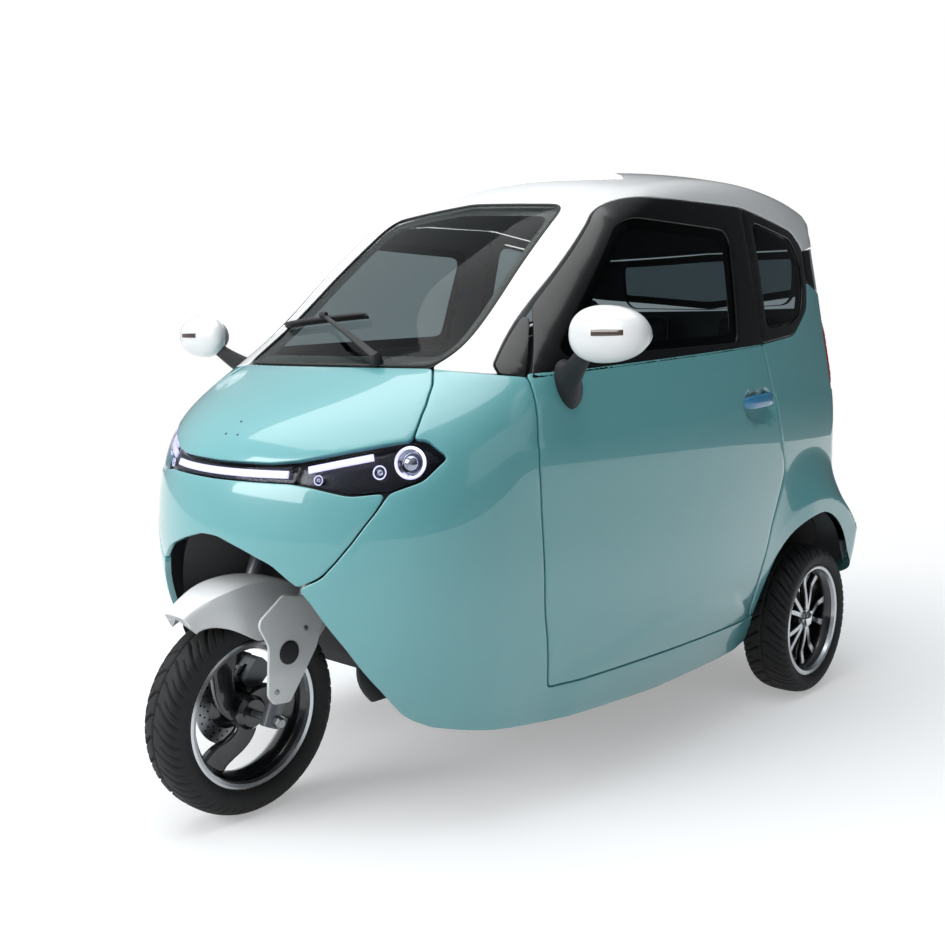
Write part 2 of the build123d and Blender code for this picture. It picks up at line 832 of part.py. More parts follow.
front_spokes = [angle + 30 for angle in (0, 120, 240)]
pair_angle = 11
rear_spokes = [step * 72 + side * pair_angle for step in range(5) for side in (-1, 1)]
save("front_tyre", tyre(front_tyre_r, front_tyre_w, front_axle_y, 0, 22))
front_rim = rim(front_tyre_w, axle_r + bearing_gap, front_spokes, 60, -12, 24, (-40, 40))
with BuildPart() as front_wheel:
    add(front_rim)
    with BuildSketch(Plane.YZ.offset(-52)):
        Circle(90)
        Circle(axle_r + bearing_gap, mode=Mode.SUBTRACT)
    extrude(amount=5)
    with BuildSketch(Plane.YZ.offset(-47)):
        Circle(45)
        Circle(axle_r + bearing_gap, mode=Mode.SUBTRACT)
    extrude(amount=10)
save("front_rim", front_wheel.part.moved(Location((0, front_axle_y, front_tyre_r))))
rear_tyre = tyre(rear_tyre_r, rear_tyre_w, rear_axle_y, left_wheel_x, 26)
rear_rim = rim(
    rear_tyre_w, axle_r + 5 + bearing_gap, rear_spokes, 17, 18, 18, (-rear_tyre_w / 2 + 6, 40)
).moved(Location((left_wheel_x, rear_axle_y, rear_tyre_r)))
for side, place in (("left", lambda solid: solid), ("right", turned)):
    save(f"rear_tyre_{side}", place(rear_tyre))
    save(f"rear_rim_{side}", place(rear_rim))

# Brake caliper on the right fork leg
with BuildPart() as caliper:
    with BuildSketch(Plane.YZ.offset(-72)):
        with Locations((front_axle_y + 62, front_tyre_r + 62)):
            RectangleRounded(52, 70, 16, rotation=-45)
    extrude(amount=44)
    with BuildSketch(Plane.YZ.offset(-56)):
        with Locations((front_axle_y, front_tyre_r)):
            Circle(96)
    extrude(amount=13, mode=Mode.SUBTRACT)
    with Locations((-86, front_axle_y + 66, front_tyre_r + 78)):
        Box(28, 24, 40)
    add(fork.part, mode=Mode.SUBTRACT)
save("brake_caliper", caliper.part.solids().sort_by(SortBy.VOLUME)[-1])

# Door fittings
with BuildPart() as handle:
    with Locations((560, 405, 862)):
        Box(70, 150, 46)
    handle_edges = handle.edges().filter_by(Axis.X)
    fillet(handle_edges, radius=20)
    add(outer_body, mode=Mode.SUBTRACT)
    with BuildSketch(Plane.YZ.offset(500)):
        with Locations((405, 862)):
            Rectangle(400, 400)
    extrude(amount=85, mode=Mode.INTERSECT)
with BuildPart() as mirror_body:
    with BuildSketch(Plane.XZ.offset(515 - 42)) as mirror_face:
        with Locations((690, 1055)):
            Ellipse(96, 57)
    extrude(amount=74)
    fillet(mirror_body.edges(), radius=30)
    with BuildLine() as stalk_path:
        Line((560, -492, 948), (640, -505, 1040))
    with BuildSketch(Plane(origin=stalk_path.line @ 0, z_dir=stalk_path.line % 0)):
        Circle(17)
    sweep(path=stalk_path.line)
    add(outer_body, mode=Mode.SUBTRACT)
mirror_solid = mirror_body.part.solids().sort_by(SortBy.VOLUME)[-1]
for side, place in (("left", lambda solid: solid), ("right", turned)):
    save(f"door_handle_{side}", place(handle.part))
    save(f"mirror_{side}", place(mirror_solid))

# Wiper on the cowl and the tail lamps
with BuildPart() as wiper:
    with BuildSketch(Plane(origin=(179, -655, 996), z_dir=(0, -0.74, 0.67))):
        Circle(16)
    extrude(amount=24)
    with BuildLine() as arm_path:
        Line((179, -672, 1012), (-150, -562, 1102))
    with BuildSketch(Plane(origin=arm_path.line @ 0, z_dir=arm_path.line % 0)):
        Rectangle(12, 12)
    sweep(path=arm_path.line)
    add(outer_body, mode=Mode.SUBTRACT)
save("wiper", wiper.part.solids().sort_by(SortBy.VOLUME)[-1])
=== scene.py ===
"""Looks of the enclosed electric tricycle: painted cab, glass, lamps, wheels and cabin."""

import json
import logging
import math
from dataclasses import dataclass, field
from enum import Enum
from typing import Callable, Optional, Sequence

import bpy
import numpy as np
from mathutils import Matrix, Vector
from mathutils.geometry import delaunay_2d_cdt

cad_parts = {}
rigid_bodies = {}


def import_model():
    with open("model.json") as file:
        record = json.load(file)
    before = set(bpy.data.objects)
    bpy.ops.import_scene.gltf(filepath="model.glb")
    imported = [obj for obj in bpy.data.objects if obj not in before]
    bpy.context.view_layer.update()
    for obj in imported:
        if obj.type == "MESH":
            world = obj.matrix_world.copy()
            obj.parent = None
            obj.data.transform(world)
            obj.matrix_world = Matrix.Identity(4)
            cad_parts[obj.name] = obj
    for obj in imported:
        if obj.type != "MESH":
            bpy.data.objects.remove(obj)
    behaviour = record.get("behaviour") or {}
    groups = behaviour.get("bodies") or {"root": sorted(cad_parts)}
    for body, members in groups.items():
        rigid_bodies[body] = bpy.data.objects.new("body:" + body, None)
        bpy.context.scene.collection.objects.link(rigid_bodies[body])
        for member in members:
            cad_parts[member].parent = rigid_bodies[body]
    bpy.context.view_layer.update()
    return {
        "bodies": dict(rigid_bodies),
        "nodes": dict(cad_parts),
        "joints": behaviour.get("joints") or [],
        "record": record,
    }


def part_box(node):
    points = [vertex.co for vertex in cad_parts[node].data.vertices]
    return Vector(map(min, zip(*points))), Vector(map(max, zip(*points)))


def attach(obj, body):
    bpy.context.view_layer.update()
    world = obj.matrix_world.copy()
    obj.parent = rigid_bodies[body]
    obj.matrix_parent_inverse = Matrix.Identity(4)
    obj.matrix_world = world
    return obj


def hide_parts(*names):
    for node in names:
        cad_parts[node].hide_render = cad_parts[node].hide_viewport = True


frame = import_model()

log = logging.getLogger("tricycle")

MM = 0.001
FRONT_AXLE = (0.0, -0.900, 0.228)
REAR_AXLE = (0.517, 0.750, 0.222)
RIM_R = 0.165


class Chart(Enum):
    """Ways of flattening the body's surface to two parameters."""

    SIDE = "side"
    FRONT = "front"
    REAR = "rear"
    NOSE = "nose"
    TAIL = "tail"
    CROWN = "crown"


# Upright axes that the nose's and the tail's wrapped charts turn about, and the radius that they unroll at
NOSE_AXIS_Y = -0.30
TAIL_AXIS_Y = 0.55
WRAP_R = 0.60


def linear(hex_colour: str) -> tuple[float, float, float, float]:
    """Turn an sRGB hex colour into linear RGBA.

    Args:
        hex_colour: six hex digits, such as "5fb0b3".

    Returns:
        Linear red, green, blue and an alpha of one.
    """
    values = [int(hex_colour[i : i + 2], 16) / 255 for i in (0, 2, 4)]
    straight = [v / 12.92 if v <= 0.04045 else ((v + 0.055) / 1.055) ** 2.4 for v in values]
    return (straight[0], straight[1], straight[2], 1.0)


# Curves and outlines


@dataclass
class Spline:
    """Natural cubic spline through rows of values, for whole arrays of queries."""

    knots: np.ndarray
    values: np.ndarray
    bends: np.ndarray = field(init=False)

    def __post_init__(self) -> None:
        """Solve for the second derivatives; they are zero at both ends."""
        count = len(self.knots)
        step = np.diff(self.knots)
        system = np.eye(count)
        right = np.zeros_like(self.values)
        for k in range(1, count - 1):
            system[k, k - 1 : k + 2] = (step[k - 1], 2 * (step[k - 1] + step[k]), step[k])
            rise = (self.values[k + 1] - self.values[k]) / step[k]
            fall = (self.values[k] - self.values[k - 1]) / step[k - 1]
            right[k] = 6 * (rise - fall)
        self.bends = np.linalg.solve(system, right)

    def __call__(self, query: np.ndarray) -> np.ndarray:
        """Values at each query: the cubic of the span that holds it."""
        query = np.asarray(query, float)
        k = np.clip(np.searchsorted(self.knots, query) - 1, 0, len(self.knots) - 2)
        low, high = self.knots[k], self.knots[k + 1]
        step = high - low
        a, b = (high - query) / step, (query - low) / step
        if self.values.ndim > 1:
            a, b, step = a[..., None], b[..., None], step[..., None]
        cubic = ((a**3 - a) * self.bends[k] + (b**3 - b) * self.bends[k + 1]) * step**2 / 6
        return a * self.values[k] + b * self.values[k + 1] + cubic


def rounded_path(corners: Sequence[tuple[float, float, float]], step: float, closed: bool = False) -> np.ndarray:
    """Line through corners, each rounded by an arc tangent to its two runs, at an even step.

    Args:
        corners: first coordinate, second coordinate and radius of each corner, in millimetres.
        step: distance between samples, in metres.
        closed: whether the last corner joins the first.

    Returns:
        Points in metres as an array of n rows; a closed line doesn't repeat its first point.
    """
    points = np.array([c[:2] for c in corners], float) * MM
    count = len(points)
    path: list[np.ndarray] = []
    for k in range(count):
        here, before, after = points[k], points[k - 1], points[(k + 1) % count]
        radius = corners[k][2] * MM
        if radius < 1e-6 or (not closed and k in (0, count - 1)):
            path.append(here[None, :])
            continue
        to_before = (before - here) / np.linalg.norm(before - here)
        to_after = (after - here) / np.linalg.norm(after - here)
        half = 0.5 * math.acos(float(np.clip(to_before @ to_after, -1, 1)))
        reach = radius / math.tan(half)
        middle = to_before + to_after
        centre = here + middle / np.linalg.norm(middle) * radius / math.sin(half)
        start = here + to_before * reach - centre
        end = here + to_after * reach - centre
        first = math.atan2(start[1], start[0])
        turn = (math.atan2(end[1], end[0]) - first + math.pi) % (2 * math.pi) - math.pi
        angle = first + turn * np.linspace(0, 1, 13)
        path.append(centre + radius * np.stack([np.cos(angle), np.sin(angle)], -1))
    line = np.concatenate(path + ([path[0][:1]] if closed else []))
    return resample(line, step, closed)


def resample(line: np.ndarray, step: float, closed: bool) -> np.ndarray:
    """Points at an even distance along a polyline of any dimension."""
    gaps = np.linalg.norm(np.diff(line, axis=0), axis=1)
    keep = np.concatenate([[True], gaps > 1e-9])
    line = line[keep]
    length = np.concatenate([[0], np.cumsum(np.linalg.norm(np.diff(line, axis=0), axis=1))])
    count = max(2, int(round(length[-1] / step)))
    even = np.linspace(0, length[-1], count + (0 if closed else 1), endpoint=not closed)
    return np.stack([np.interp(even, length, line[:, k]) for k in range(line.shape[1])], -1)


def soften(loop: np.ndarray, rounds: int) -> np.ndarray:
    """Closed line with its sharp corners eased: each point moves to the mean of its neighbours' middle."""
    for _ in range(rounds):
        loop = 0.5 * loop + 0.25 * (np.roll(loop, 1, axis=0) + np.roll(loop, -1, axis=0))
    return loop


def inside_outline(points: np.ndarray, outline: np.ndarray) -> np.ndarray:
    """Whether each point is inside a closed outline, by counting crossings."""
    x, y = points[:, 0][:, None], points[:, 1][:, None]
    x0, y0 = outline[:, 0][None], outline[:, 1][None]
    x1, y1 = np.roll(outline[:, 0], -1)[None], np.roll(outline[:, 1], -1)[None]
    crosses = (y0 > y) != (y1 > y)
    safe = np.where(y1 == y0, 1e-12, y1 - y0)
    at = x0 + (y - y0) * (x1 - x0) / safe
    return (np.sum(crosses & (x < at), axis=1) % 2).astype(bool)


def outline_distance(points: np.ndarray, outline: np.ndarray) -> np.ndarray:
    """Distance from each point to the nearest side of a closed outline."""
    start, end = outline, np.roll(outline, -1, axis=0)
    best = np.full(len(points), np.inf)
    for a, b in zip(start, end):
        side = b - a
        t = np.clip(((points - a) @ side) / max(side @ side, 1e-12), 0, 1)
        best = np.minimum(best, np.linalg.norm(points - (a + t[:, None] * side), axis=1))
    return best


@dataclass
class BodyShape:
    """The cab's outer surface: stacked plan sections under a crowned roof.

    Each plan section is a ring of tangent arcs whose sizes vary smoothly with height.
    The roof is an arc across the vehicle that follows a centre line. Where the two meet,
    they are rounded together.
    """

    roof_crown_r: float = 1.667
    shoulder_r: float = 0.034
    hub: tuple[float, float, float] = (0.0, 0.30, 0.45)
    stations: np.ndarray = field(
        default_factory=lambda: np.array(
            [
                # z, front_y, front_r, front_corner_r, half_width, side_r, widest_y, rear_y, rear_r, rear_corner_r
                (0.225, -0.790, 1.10, 0.26, 0.515, 6.0, 0.12, 1.075, 2.5, 0.15),
                (0.420, -0.945, 0.72, 0.34, 0.566, 6.0, 0.12, 1.120, 2.2, 0.17),
                (0.680, -0.975, 0.65, 0.34, 0.577, 6.0, 0.12, 1.126, 2.0, 0.16),
                (0.870, -0.875, 0.72, 0.33, 0.565, 6.0, 0.12, 1.119, 2.0, 0.14),
                (1.020, -0.625, 0.98, 0.23, 0.542, 5.0, 0.16, 1.112, 2.0, 0.12),
                (1.200, -0.395, 1.10, 0.16, 0.508, 4.0, 0.24, 1.103, 2.0, 0.11),
                (1.400, -0.140, 1.30, 0.13, 0.460, 3.5, 0.34, 1.080, 2.0, 0.10),
                (1.600, 0.120, 1.50, 0.12, 0.405, 3.0, 0.44, 1.045, 2.0, 0.09),
            ]
        )
    )
    roof_line: np.ndarray = field(
        default_factory=lambda: np.array(
            [(-0.45, 1.24), (-0.18, 1.40), (0.10, 1.49), (0.40, 1.528), (0.75, 1.52), (1.05, 1.478), (1.20, 1.44)]
        )
    )

    def __post_init__(self) -> None:
        """Fit the smooth columns once."""
        self.columns = Spline(self.stations[:, 0], self.stations[:, 1:])
        self.roof = Spline(self.roof_line[:, 0], self.roof_line[:, 1])

    def plan_gap(self, x: np.ndarray, y: np.ndarray, z: np.ndarray) -> np.ndarray:
        """Signed distance in plan from the section at each height; negative inside.

        Every point is measured from the arc whose sector holds it: nose, corner, side,
        rear corner or tail.
        """
        row = self.columns(np.clip(z, 0.165, 1.62))
        front_y, front_r, nose_r, half_w, side_r, wide_y, rear_y, rear_r, tail_r = np.moveaxis(row, -1, 0)
        x = np.abs(x)
        front_c = np.stack([np.zeros_like(front_y), front_y + front_r], -1)
        side_c = np.stack([half_w - side_r, wide_y], -1)
        rear_c = np.stack([np.zeros_like(rear_y), rear_y - rear_r], -1)
        nose_c = self.corner(front_c, front_r - nose_r, side_c, side_r - nose_r, -1)
        tail_c = self.corner(side_c, side_r - tail_r, rear_c, rear_r - tail_r, 1)
        spot = np.stack([x, y], -1)

        def cross(a: np.ndarray, b: np.ndarray) -> np.ndarray:
            """Plan cross product."""
            return a[..., 0] * b[..., 1] - a[..., 1] * b[..., 0]

        gap = np.linalg.norm(spot - side_c, axis=-1) - side_r
        front = (cross(nose_c - front_c, spot - front_c) < 0) & (y < nose_c[..., 1])
        gap = np.where(front, np.linalg.norm(spot - front_c, axis=-1) - front_r, gap)
        rear = (cross(tail_c - rear_c, spot - rear_c) > 0) & (y > tail_c[..., 1])
        gap = np.where(rear, np.linalg.norm(spot - rear_c, axis=-1) - rear_r, gap)
        nose = (cross(nose_c - front_c, spot - nose_c) >= 0) & (cross(spot - nose_c, nose_c - side_c) >= 0)
        gap = np.where(nose, np.linalg.norm(spot - nose_c, axis=-1) - nose_r, gap)
        tail = (cross(tail_c - side_c, spot - tail_c) >= 0) & (cross(spot - tail_c, tail_c - rear_c) >= 0)
        return np.where(tail, np.linalg.norm(spot - tail_c, axis=-1) - tail_r, gap)

    @staticmethod
    def corner(ca: np.ndarray, ra: np.ndarray, cb: np.ndarray, rb: np.ndarray, toward: int) -> np.ndarray:
        """Centre of the arc tangent inside two others: where two circles cross."""
        link = cb - ca
        span = np.linalg.norm(link, axis=-1)
        along = (span**2 + ra**2 - rb**2) / (2 * span)
        across = np.sqrt(np.maximum(ra**2 - along**2, 0))
        unit = link / span[..., None]
        normal = np.stack([-unit[..., 1], unit[..., 0]], -1)
        one = ca + unit * along[..., None] + normal * across[..., None]
        two = ca + unit * along[..., None] - normal * across[..., None]
        pick = toward * one[..., 1] > toward * two[..., 1]
        return np.where(pick[..., None], one, two)

    def value(self, p: np.ndarray) -> np.ndarray:
        """Signed value of the whole surface at points; negative inside, near a distance."""
        x, y, z = p[..., 0], p[..., 1], p[..., 2]
        h = 0.004
        side = self.plan_gap(x, y, z)
        lean = (self.plan_gap(x, y, z + h) - self.plan_gap(x, y, z - h)) / (2 * h)
        side = side / np.sqrt(1 + lean**2)
        fall = self.roof_crown_r - np.sqrt(np.maximum(self.roof_crown_r**2 - x**2, 0.01))
        slope = (self.roof(y + h) - self.roof(y - h)) / (2 * h)
        top = (z - (self.roof(y) - fall)) / np.sqrt(1 + slope**2)
        r = self.shoulder_r
        both = np.sqrt(np.maximum(side + r, 0) ** 2 + np.maximum(top + r, 0) ** 2) - r
        return np.where((side > -r) & (top > -r), both, np.maximum(side, top))

    def normal(self, p: np.ndarray) -> np.ndarray:
        """Outward unit normals from the surface's gradient."""
        h = 0.0015
        grad = np.empty_like(p)
        for k in range(3):
            shift = np.zeros(3)
            shift[k] = h
            grad[:, k] = self.value(p + shift) - self.value(p - shift)
        return grad / np.maximum(np.linalg.norm(grad, axis=1, keepdims=True), 1e-12)

    def flatten(self, chart: Chart, p: np.ndarray) -> np.ndarray:
        """Two parameters of surface points on a chart."""
        if chart is Chart.SIDE:
            return p[:, [1, 2]]
        if chart in (Chart.FRONT, Chart.REAR):
            return p[:, [0, 2]]
        if chart is Chart.NOSE:
            return np.column_stack([WRAP_R * np.arctan2(p[:, 0], NOSE_AXIS_Y - p[:, 1]), p[:, 2]])
        if chart is Chart.TAIL:
            return np.column_stack([WRAP_R * np.arctan2(p[:, 0], p[:, 1] - TAIL_AXIS_Y), p[:, 2]])
        away = p - np.array(self.hub)
        return away[:, :2] / away[:, 2:3]

    def lift(self, chart: Chart, uv: np.ndarray) -> np.ndarray:
        """Surface points from two parameters, by halving the step along each point's ray."""
        count = len(uv)
        near, far = np.zeros((count, 3)), np.zeros((count, 3))
        if chart is Chart.SIDE:
            near[:, 1:], far[:, 1:] = uv, uv
            far[:, 0] = 0.64
        elif chart in (Chart.FRONT, Chart.REAR):
            near[:, [0, 2]], far[:, [0, 2]] = uv, uv
            near[:, 1] = 0.15 if chart is Chart.FRONT else 0.70
            far[:, 1] = -1.15 if chart is Chart.FRONT else 1.25
        elif chart in (Chart.NOSE, Chart.TAIL):
            middle_y, way = (NOSE_AXIS_Y, -1) if chart is Chart.NOSE else (TAIL_AXIS_Y, 1)
            turn = uv[:, 0] / WRAP_R
            ray = np.column_stack([np.sin(turn), way * np.cos(turn), np.zeros(count)])
            start = np.column_stack([np.zeros(count), np.full(count, middle_y), uv[:, 1]])
            near, far = start + ray * 0.05, start + ray * 1.35
        else:
            ray = np.column_stack([uv, np.ones(count)])
            near = np.array(self.hub) + ray * 0.15
            far = np.array(self.hub) + ray * 1.20
        for _ in range(13):
            middle = (near + far) / 2
            within = (self.value(middle) < 0)[:, None]
            near, far = np.where(within, middle, near), np.where(within, far, middle)
        for _ in range(2):
            low, high = self.value(near), self.value(far)
            share = np.clip(-low / np.where(high - low == 0, 1, high - low), 0, 1)[:, None]
            middle = near + (far - near) * share
            within = (self.value(middle) < 0)[:, None]
            near, far = np.where(within, middle, near), np.where(within, far, middle)
            last = middle
        return last


BODY = BodyShape()


# Meshes


@dataclass
class Shape:
    """Vertices and faces gathered before they become one mesh."""

    verts: list[np.ndarray] = field(default_factory=list)
    faces: list[np.ndarray] = field(default_factory=list)
    marks: list[np.ndarray] = field(default_factory=list)
    count: int = 0

    def add(self, verts: np.ndarray, faces: Sequence[np.ndarray], mark: int = 0) -> int:
        """Add vertices with faces that count from their own first vertex.

        Args:
            verts: n rows of x, y, z.
            faces: arrays of triangles or quads.
            mark: number of the finish that the faces take.

        Returns:
            Number of the first added vertex in the whole shape.
        """
        first = self.count
        self.verts.append(np.asarray(verts, float))
        for part in faces:
            if len(part):
                self.faces.append(np.asarray(part, int) + first)
                self.marks.append(np.full(len(part), mark))
        self.count += len(verts)
        return first

    def mirrored(self) -> "Shape":
        """The same shape on the other side, with its faces turned to point outwards."""
        other = Shape(count=self.count)
        other.verts = [v * np.array([-1, 1, 1]) for v in self.verts]
        other.faces = [f[:, ::-1] for f in self.faces]
        other.marks = list(self.marks)
        return other

    def finish(
        self,
        name: str,
        finishes: Sequence[bpy.types.Material],
        body: str,
        replaces: Sequence[str] = (),
        slot: str = "",
        sharp: float = 38.0,
        bevel: float = 0.0,
    ) -> bpy.types.Object:
        """Make the mesh object, dress it and let it ride on a body.

        Args:
            name: the object's name.
            finishes: materials, in the order of the marks.
            body: the body that the piece moves with.
            replaces: frame nodes that the piece stands for.
            slot: the record's material slot; not used.
            sharp: angle in degrees over which an edge is hard.
            bevel: width of a bevel on hard edges, in metres.

        Returns:
            The finished object.
        """
        verts = np.concatenate(self.verts)
        faces: list[list[int]] = []
        for part in self.faces:
            faces.extend(part.tolist())
        mesh = bpy.data.meshes.new(name)
        mesh.from_pydata(verts.tolist(), [], faces)
        mesh.polygons.foreach_set("material_index", np.concatenate(self.marks).astype(np.int32))
        mesh.validate()
        mesh.update()
        for finish in finishes:
            mesh.materials.append(finish)
        mesh.shade_smooth()
        mesh.set_sharp_from_angle(angle=math.radians(sharp))
        piece = bpy.data.objects.new(name, mesh)
        bpy.context.scene.collection.objects.link(piece)
        if bevel:
            edge = piece.modifiers.new("edge", "BEVEL")
            edge.width, edge.segments, edge.limit_method = bevel, 2, "ANGLE"
            edge.harden_normals = False
        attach(piece, body)
        if replaces:
            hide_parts(*replaces)
        log.info("%s: %d vertices, %d faces", name, len(verts), len(faces))
        return piece


def grid_quads(rows: int, columns: int, wrap_rows: bool = False, wrap_columns: bool = False) -> np.ndarray:
    """Quads of a grid numbered row by row, joined round where asked."""
    i = np.arange(rows if wrap_rows else rows - 1)[:, None]
    j = np.arange(columns if wrap_columns else columns - 1)[None, :]
    i2, j2 = (i + 1) % rows, (j + 1) % columns
    corners = (i * columns + j, i2 * columns + j, i2 * columns + j2, i * columns + j2)
    return np.stack([np.broadcast_to(c, (i.shape[0], j.shape[1])).ravel() for c in corners], -1)


def fan(ring: np.ndarray, centre: int) -> np.ndarray:
    """Triangles from a ring of vertex numbers to one centre vertex."""
    return np.stack([ring, np.roll(ring, -1), np.full(len(ring), centre)], -1)


def tube_shape(rings: np.ndarray, closed: bool = False) -> tuple[np.ndarray, list[np.ndarray]]:
    """Surface through rings of points: one quad per step along and round, with capped ends.

    Args:
        rings: array of n rings by m points by 3.
        closed: whether the last ring joins the first, so that there are no caps.

    Returns:
        Vertices and face arrays.
    """
    n, m = rings.shape[:2]
    verts = rings.reshape(-1, 3)
    quads = grid_quads(n, m, wrap_rows=closed, wrap_columns=True)
    if closed:
        return verts, [quads]
    verts = np.concatenate([verts, rings[0].mean(0)[None], rings[-1].mean(0)[None]])
    first, last = np.arange(m)[::-1], np.arange(m) + (n - 1) * m
    return verts, [quads, fan(first, n * m), fan(last, n * m + 1)]


def outward(verts: np.ndarray, faces: list[np.ndarray]) -> list[np.ndarray]:
    """Faces turned so that the closed surface holds a positive volume."""
    volume = 0.0
    for part in faces:
        a, b, c = verts[part[:, 0]], verts[part[:, 1]], verts[part[:, 2]]
        volume += float(np.sum(np.cross(a, b) * c))
        if part.shape[1] == 4:
            d = verts[part[:, 3]]
            volume += float(np.sum(np.cross(a, c) * d))
    return faces if volume > 0 else [part[:, ::-1] for part in faces]


def sweep(path: np.ndarray, up: np.ndarray, profile: np.ndarray, size: Optional[np.ndarray] = None,
          closed: bool = False) -> tuple[np.ndarray, list[np.ndarray]]:
    """Profile carried along a path: each ring lies across the path's direction.

    Args:
        path: n points.
        up: n directions, or one, that the profile's second axis follows.
        profile: m points of the closed profile, across and up.
        size: n factors on the profile, or n by 2 for across and up.
        closed: whether the path is a loop.

    Returns:
        Vertices and face arrays that point outwards.
    """
    along = np.roll(path, -1, 0) - np.roll(path, 1, 0) if closed else np.gradient(path, axis=0)
    along /= np.linalg.norm(along, axis=1, keepdims=True)
    up = np.broadcast_to(up, path.shape)
    across = np.cross(along, up)
    across /= np.linalg.norm(across, axis=1, keepdims=True)
    high = np.cross(across, along)
    count = len(path)
    scale = np.ones((count, 2)) if size is None else np.broadcast_to(np.reshape(size, (count, -1)), (count, 2))
    spread = profile[None] * scale[:, None]
    rings = path[:, None] + across[:, None] * spread[..., :1] + high[:, None] * spread[..., 1:]
    verts, faces = tube_shape(rings, closed)
    return verts, outward(verts, faces)


def revolve(profile: np.ndarray, centre: Sequence[float], steps: int = 96, axis: str = "x",
            closed: bool = True) -> tuple[np.ndarray, list[np.ndarray]]:
    """Profile of (along, radius) turned round an axis: each point runs a full circle.

    Args:
        profile: points along the axis and away from it.
        centre: a point on the axis that the profile's first value is measured from.
        steps: number of steps round.
        axis: x, y or z.
        closed: whether the profile's last point joins its first.

    Returns:
        Vertices and face arrays that point outwards.
    """
    angle = np.linspace(0, 2 * math.pi, steps, endpoint=False)
    along = np.broadcast_to(profile[None, :, 0], (steps, len(profile)))
    one, two = profile[None, :, 1] * np.cos(angle)[:, None], profile[None, :, 1] * np.sin(angle)[:, None]
    order = {"x": (along, one, two), "y": (one, along, two), "z": (one, two, along)}[axis]
    verts = np.stack(order, -1).reshape(-1, 3) + np.array(centre)
    faces = [grid_quads(steps, len(profile), wrap_rows=True, wrap_columns=closed)]
    return verts, outward(verts, faces)


def circle(radius: float, points: int = 16, squash: float = 1.0) -> np.ndarray:
    """Round or oval profile."""
    angle = np.linspace(0, 2 * math.pi, points, endpoint=False)
    return np.stack([radius * np.cos(angle), radius * squash * np.sin(angle)], -1)


def rounded_box_profile(width: float, height: float, radius: float, steps: int = 4) -> np.ndarray:
    """Rectangle with round corners, centred on zero."""
    corners = [(1, 1, 0), (-1, 1, 90), (-1, -1, 180), (1, -1, 270)]
    runs = []
    for sx, sy, start in corners:
        angle = np.radians(start + np.linspace(0, 90, steps + 1))
        middle = np.array([sx * (width / 2 - radius), sy * (height / 2 - radius)])
        runs.append(middle + radius * np.stack([np.cos(angle), np.sin(angle)], -1))
    return np.concatenate(runs)


def oval(centre: Sequence[float], axes: np.ndarray, half: Sequence[float], power: float = 2.0, rows: int = 28,
         columns: int = 40) -> tuple[np.ndarray, list[np.ndarray]]:
    """Superellipsoid: latitude and longitude cosines raised to 2 / power and scaled by half sizes.

    Args:
        centre: its middle.
        axes: three unit rows that its sizes follow.
        half: half sizes along the axes.
        power: 2 is an ellipsoid, more is boxier.
        rows: steps from pole to pole.
        columns: steps round.

    Returns:
        Vertices and face arrays that point outwards.
    """
    def bent(value: np.ndarray) -> np.ndarray:
        """Signed power of a cosine or sine."""
        return np.sign(value) * np.abs(value) ** (2 / power)

    lat = np.linspace(-math.pi / 2, math.pi / 2, rows + 1)[1:-1, None]
    lon = np.linspace(0, 2 * math.pi, columns, endpoint=False)[None]
    local = np.stack(
        [
            half[0] * bent(np.cos(lat)) * bent(np.cos(lon)),
            half[1] * bent(np.cos(lat)) * bent(np.sin(lon)),
            half[2] * bent(np.sin(lat)) * np.ones_like(lon),
        ],
        -1,
    )
    rings = local @ axes + np.array(centre)
    n, m = rings.shape[:2]
    poles = np.array([[0, 0, -half[2]], [0, 0, half[2]]]) @ axes + np.array(centre)
    verts = np.concatenate([rings.reshape(-1, 3), poles])
    first, last = np.arange(m)[::-1], np.arange(m) + (n - 1) * m
    faces = [grid_quads(n, m, wrap_columns=True), fan(first, n * m), fan(last, n * m + 1)]
    return verts, outward(verts, faces)


STRAIGHT = np.eye(3)

Press = Callable[[np.ndarray], np.ndarray]


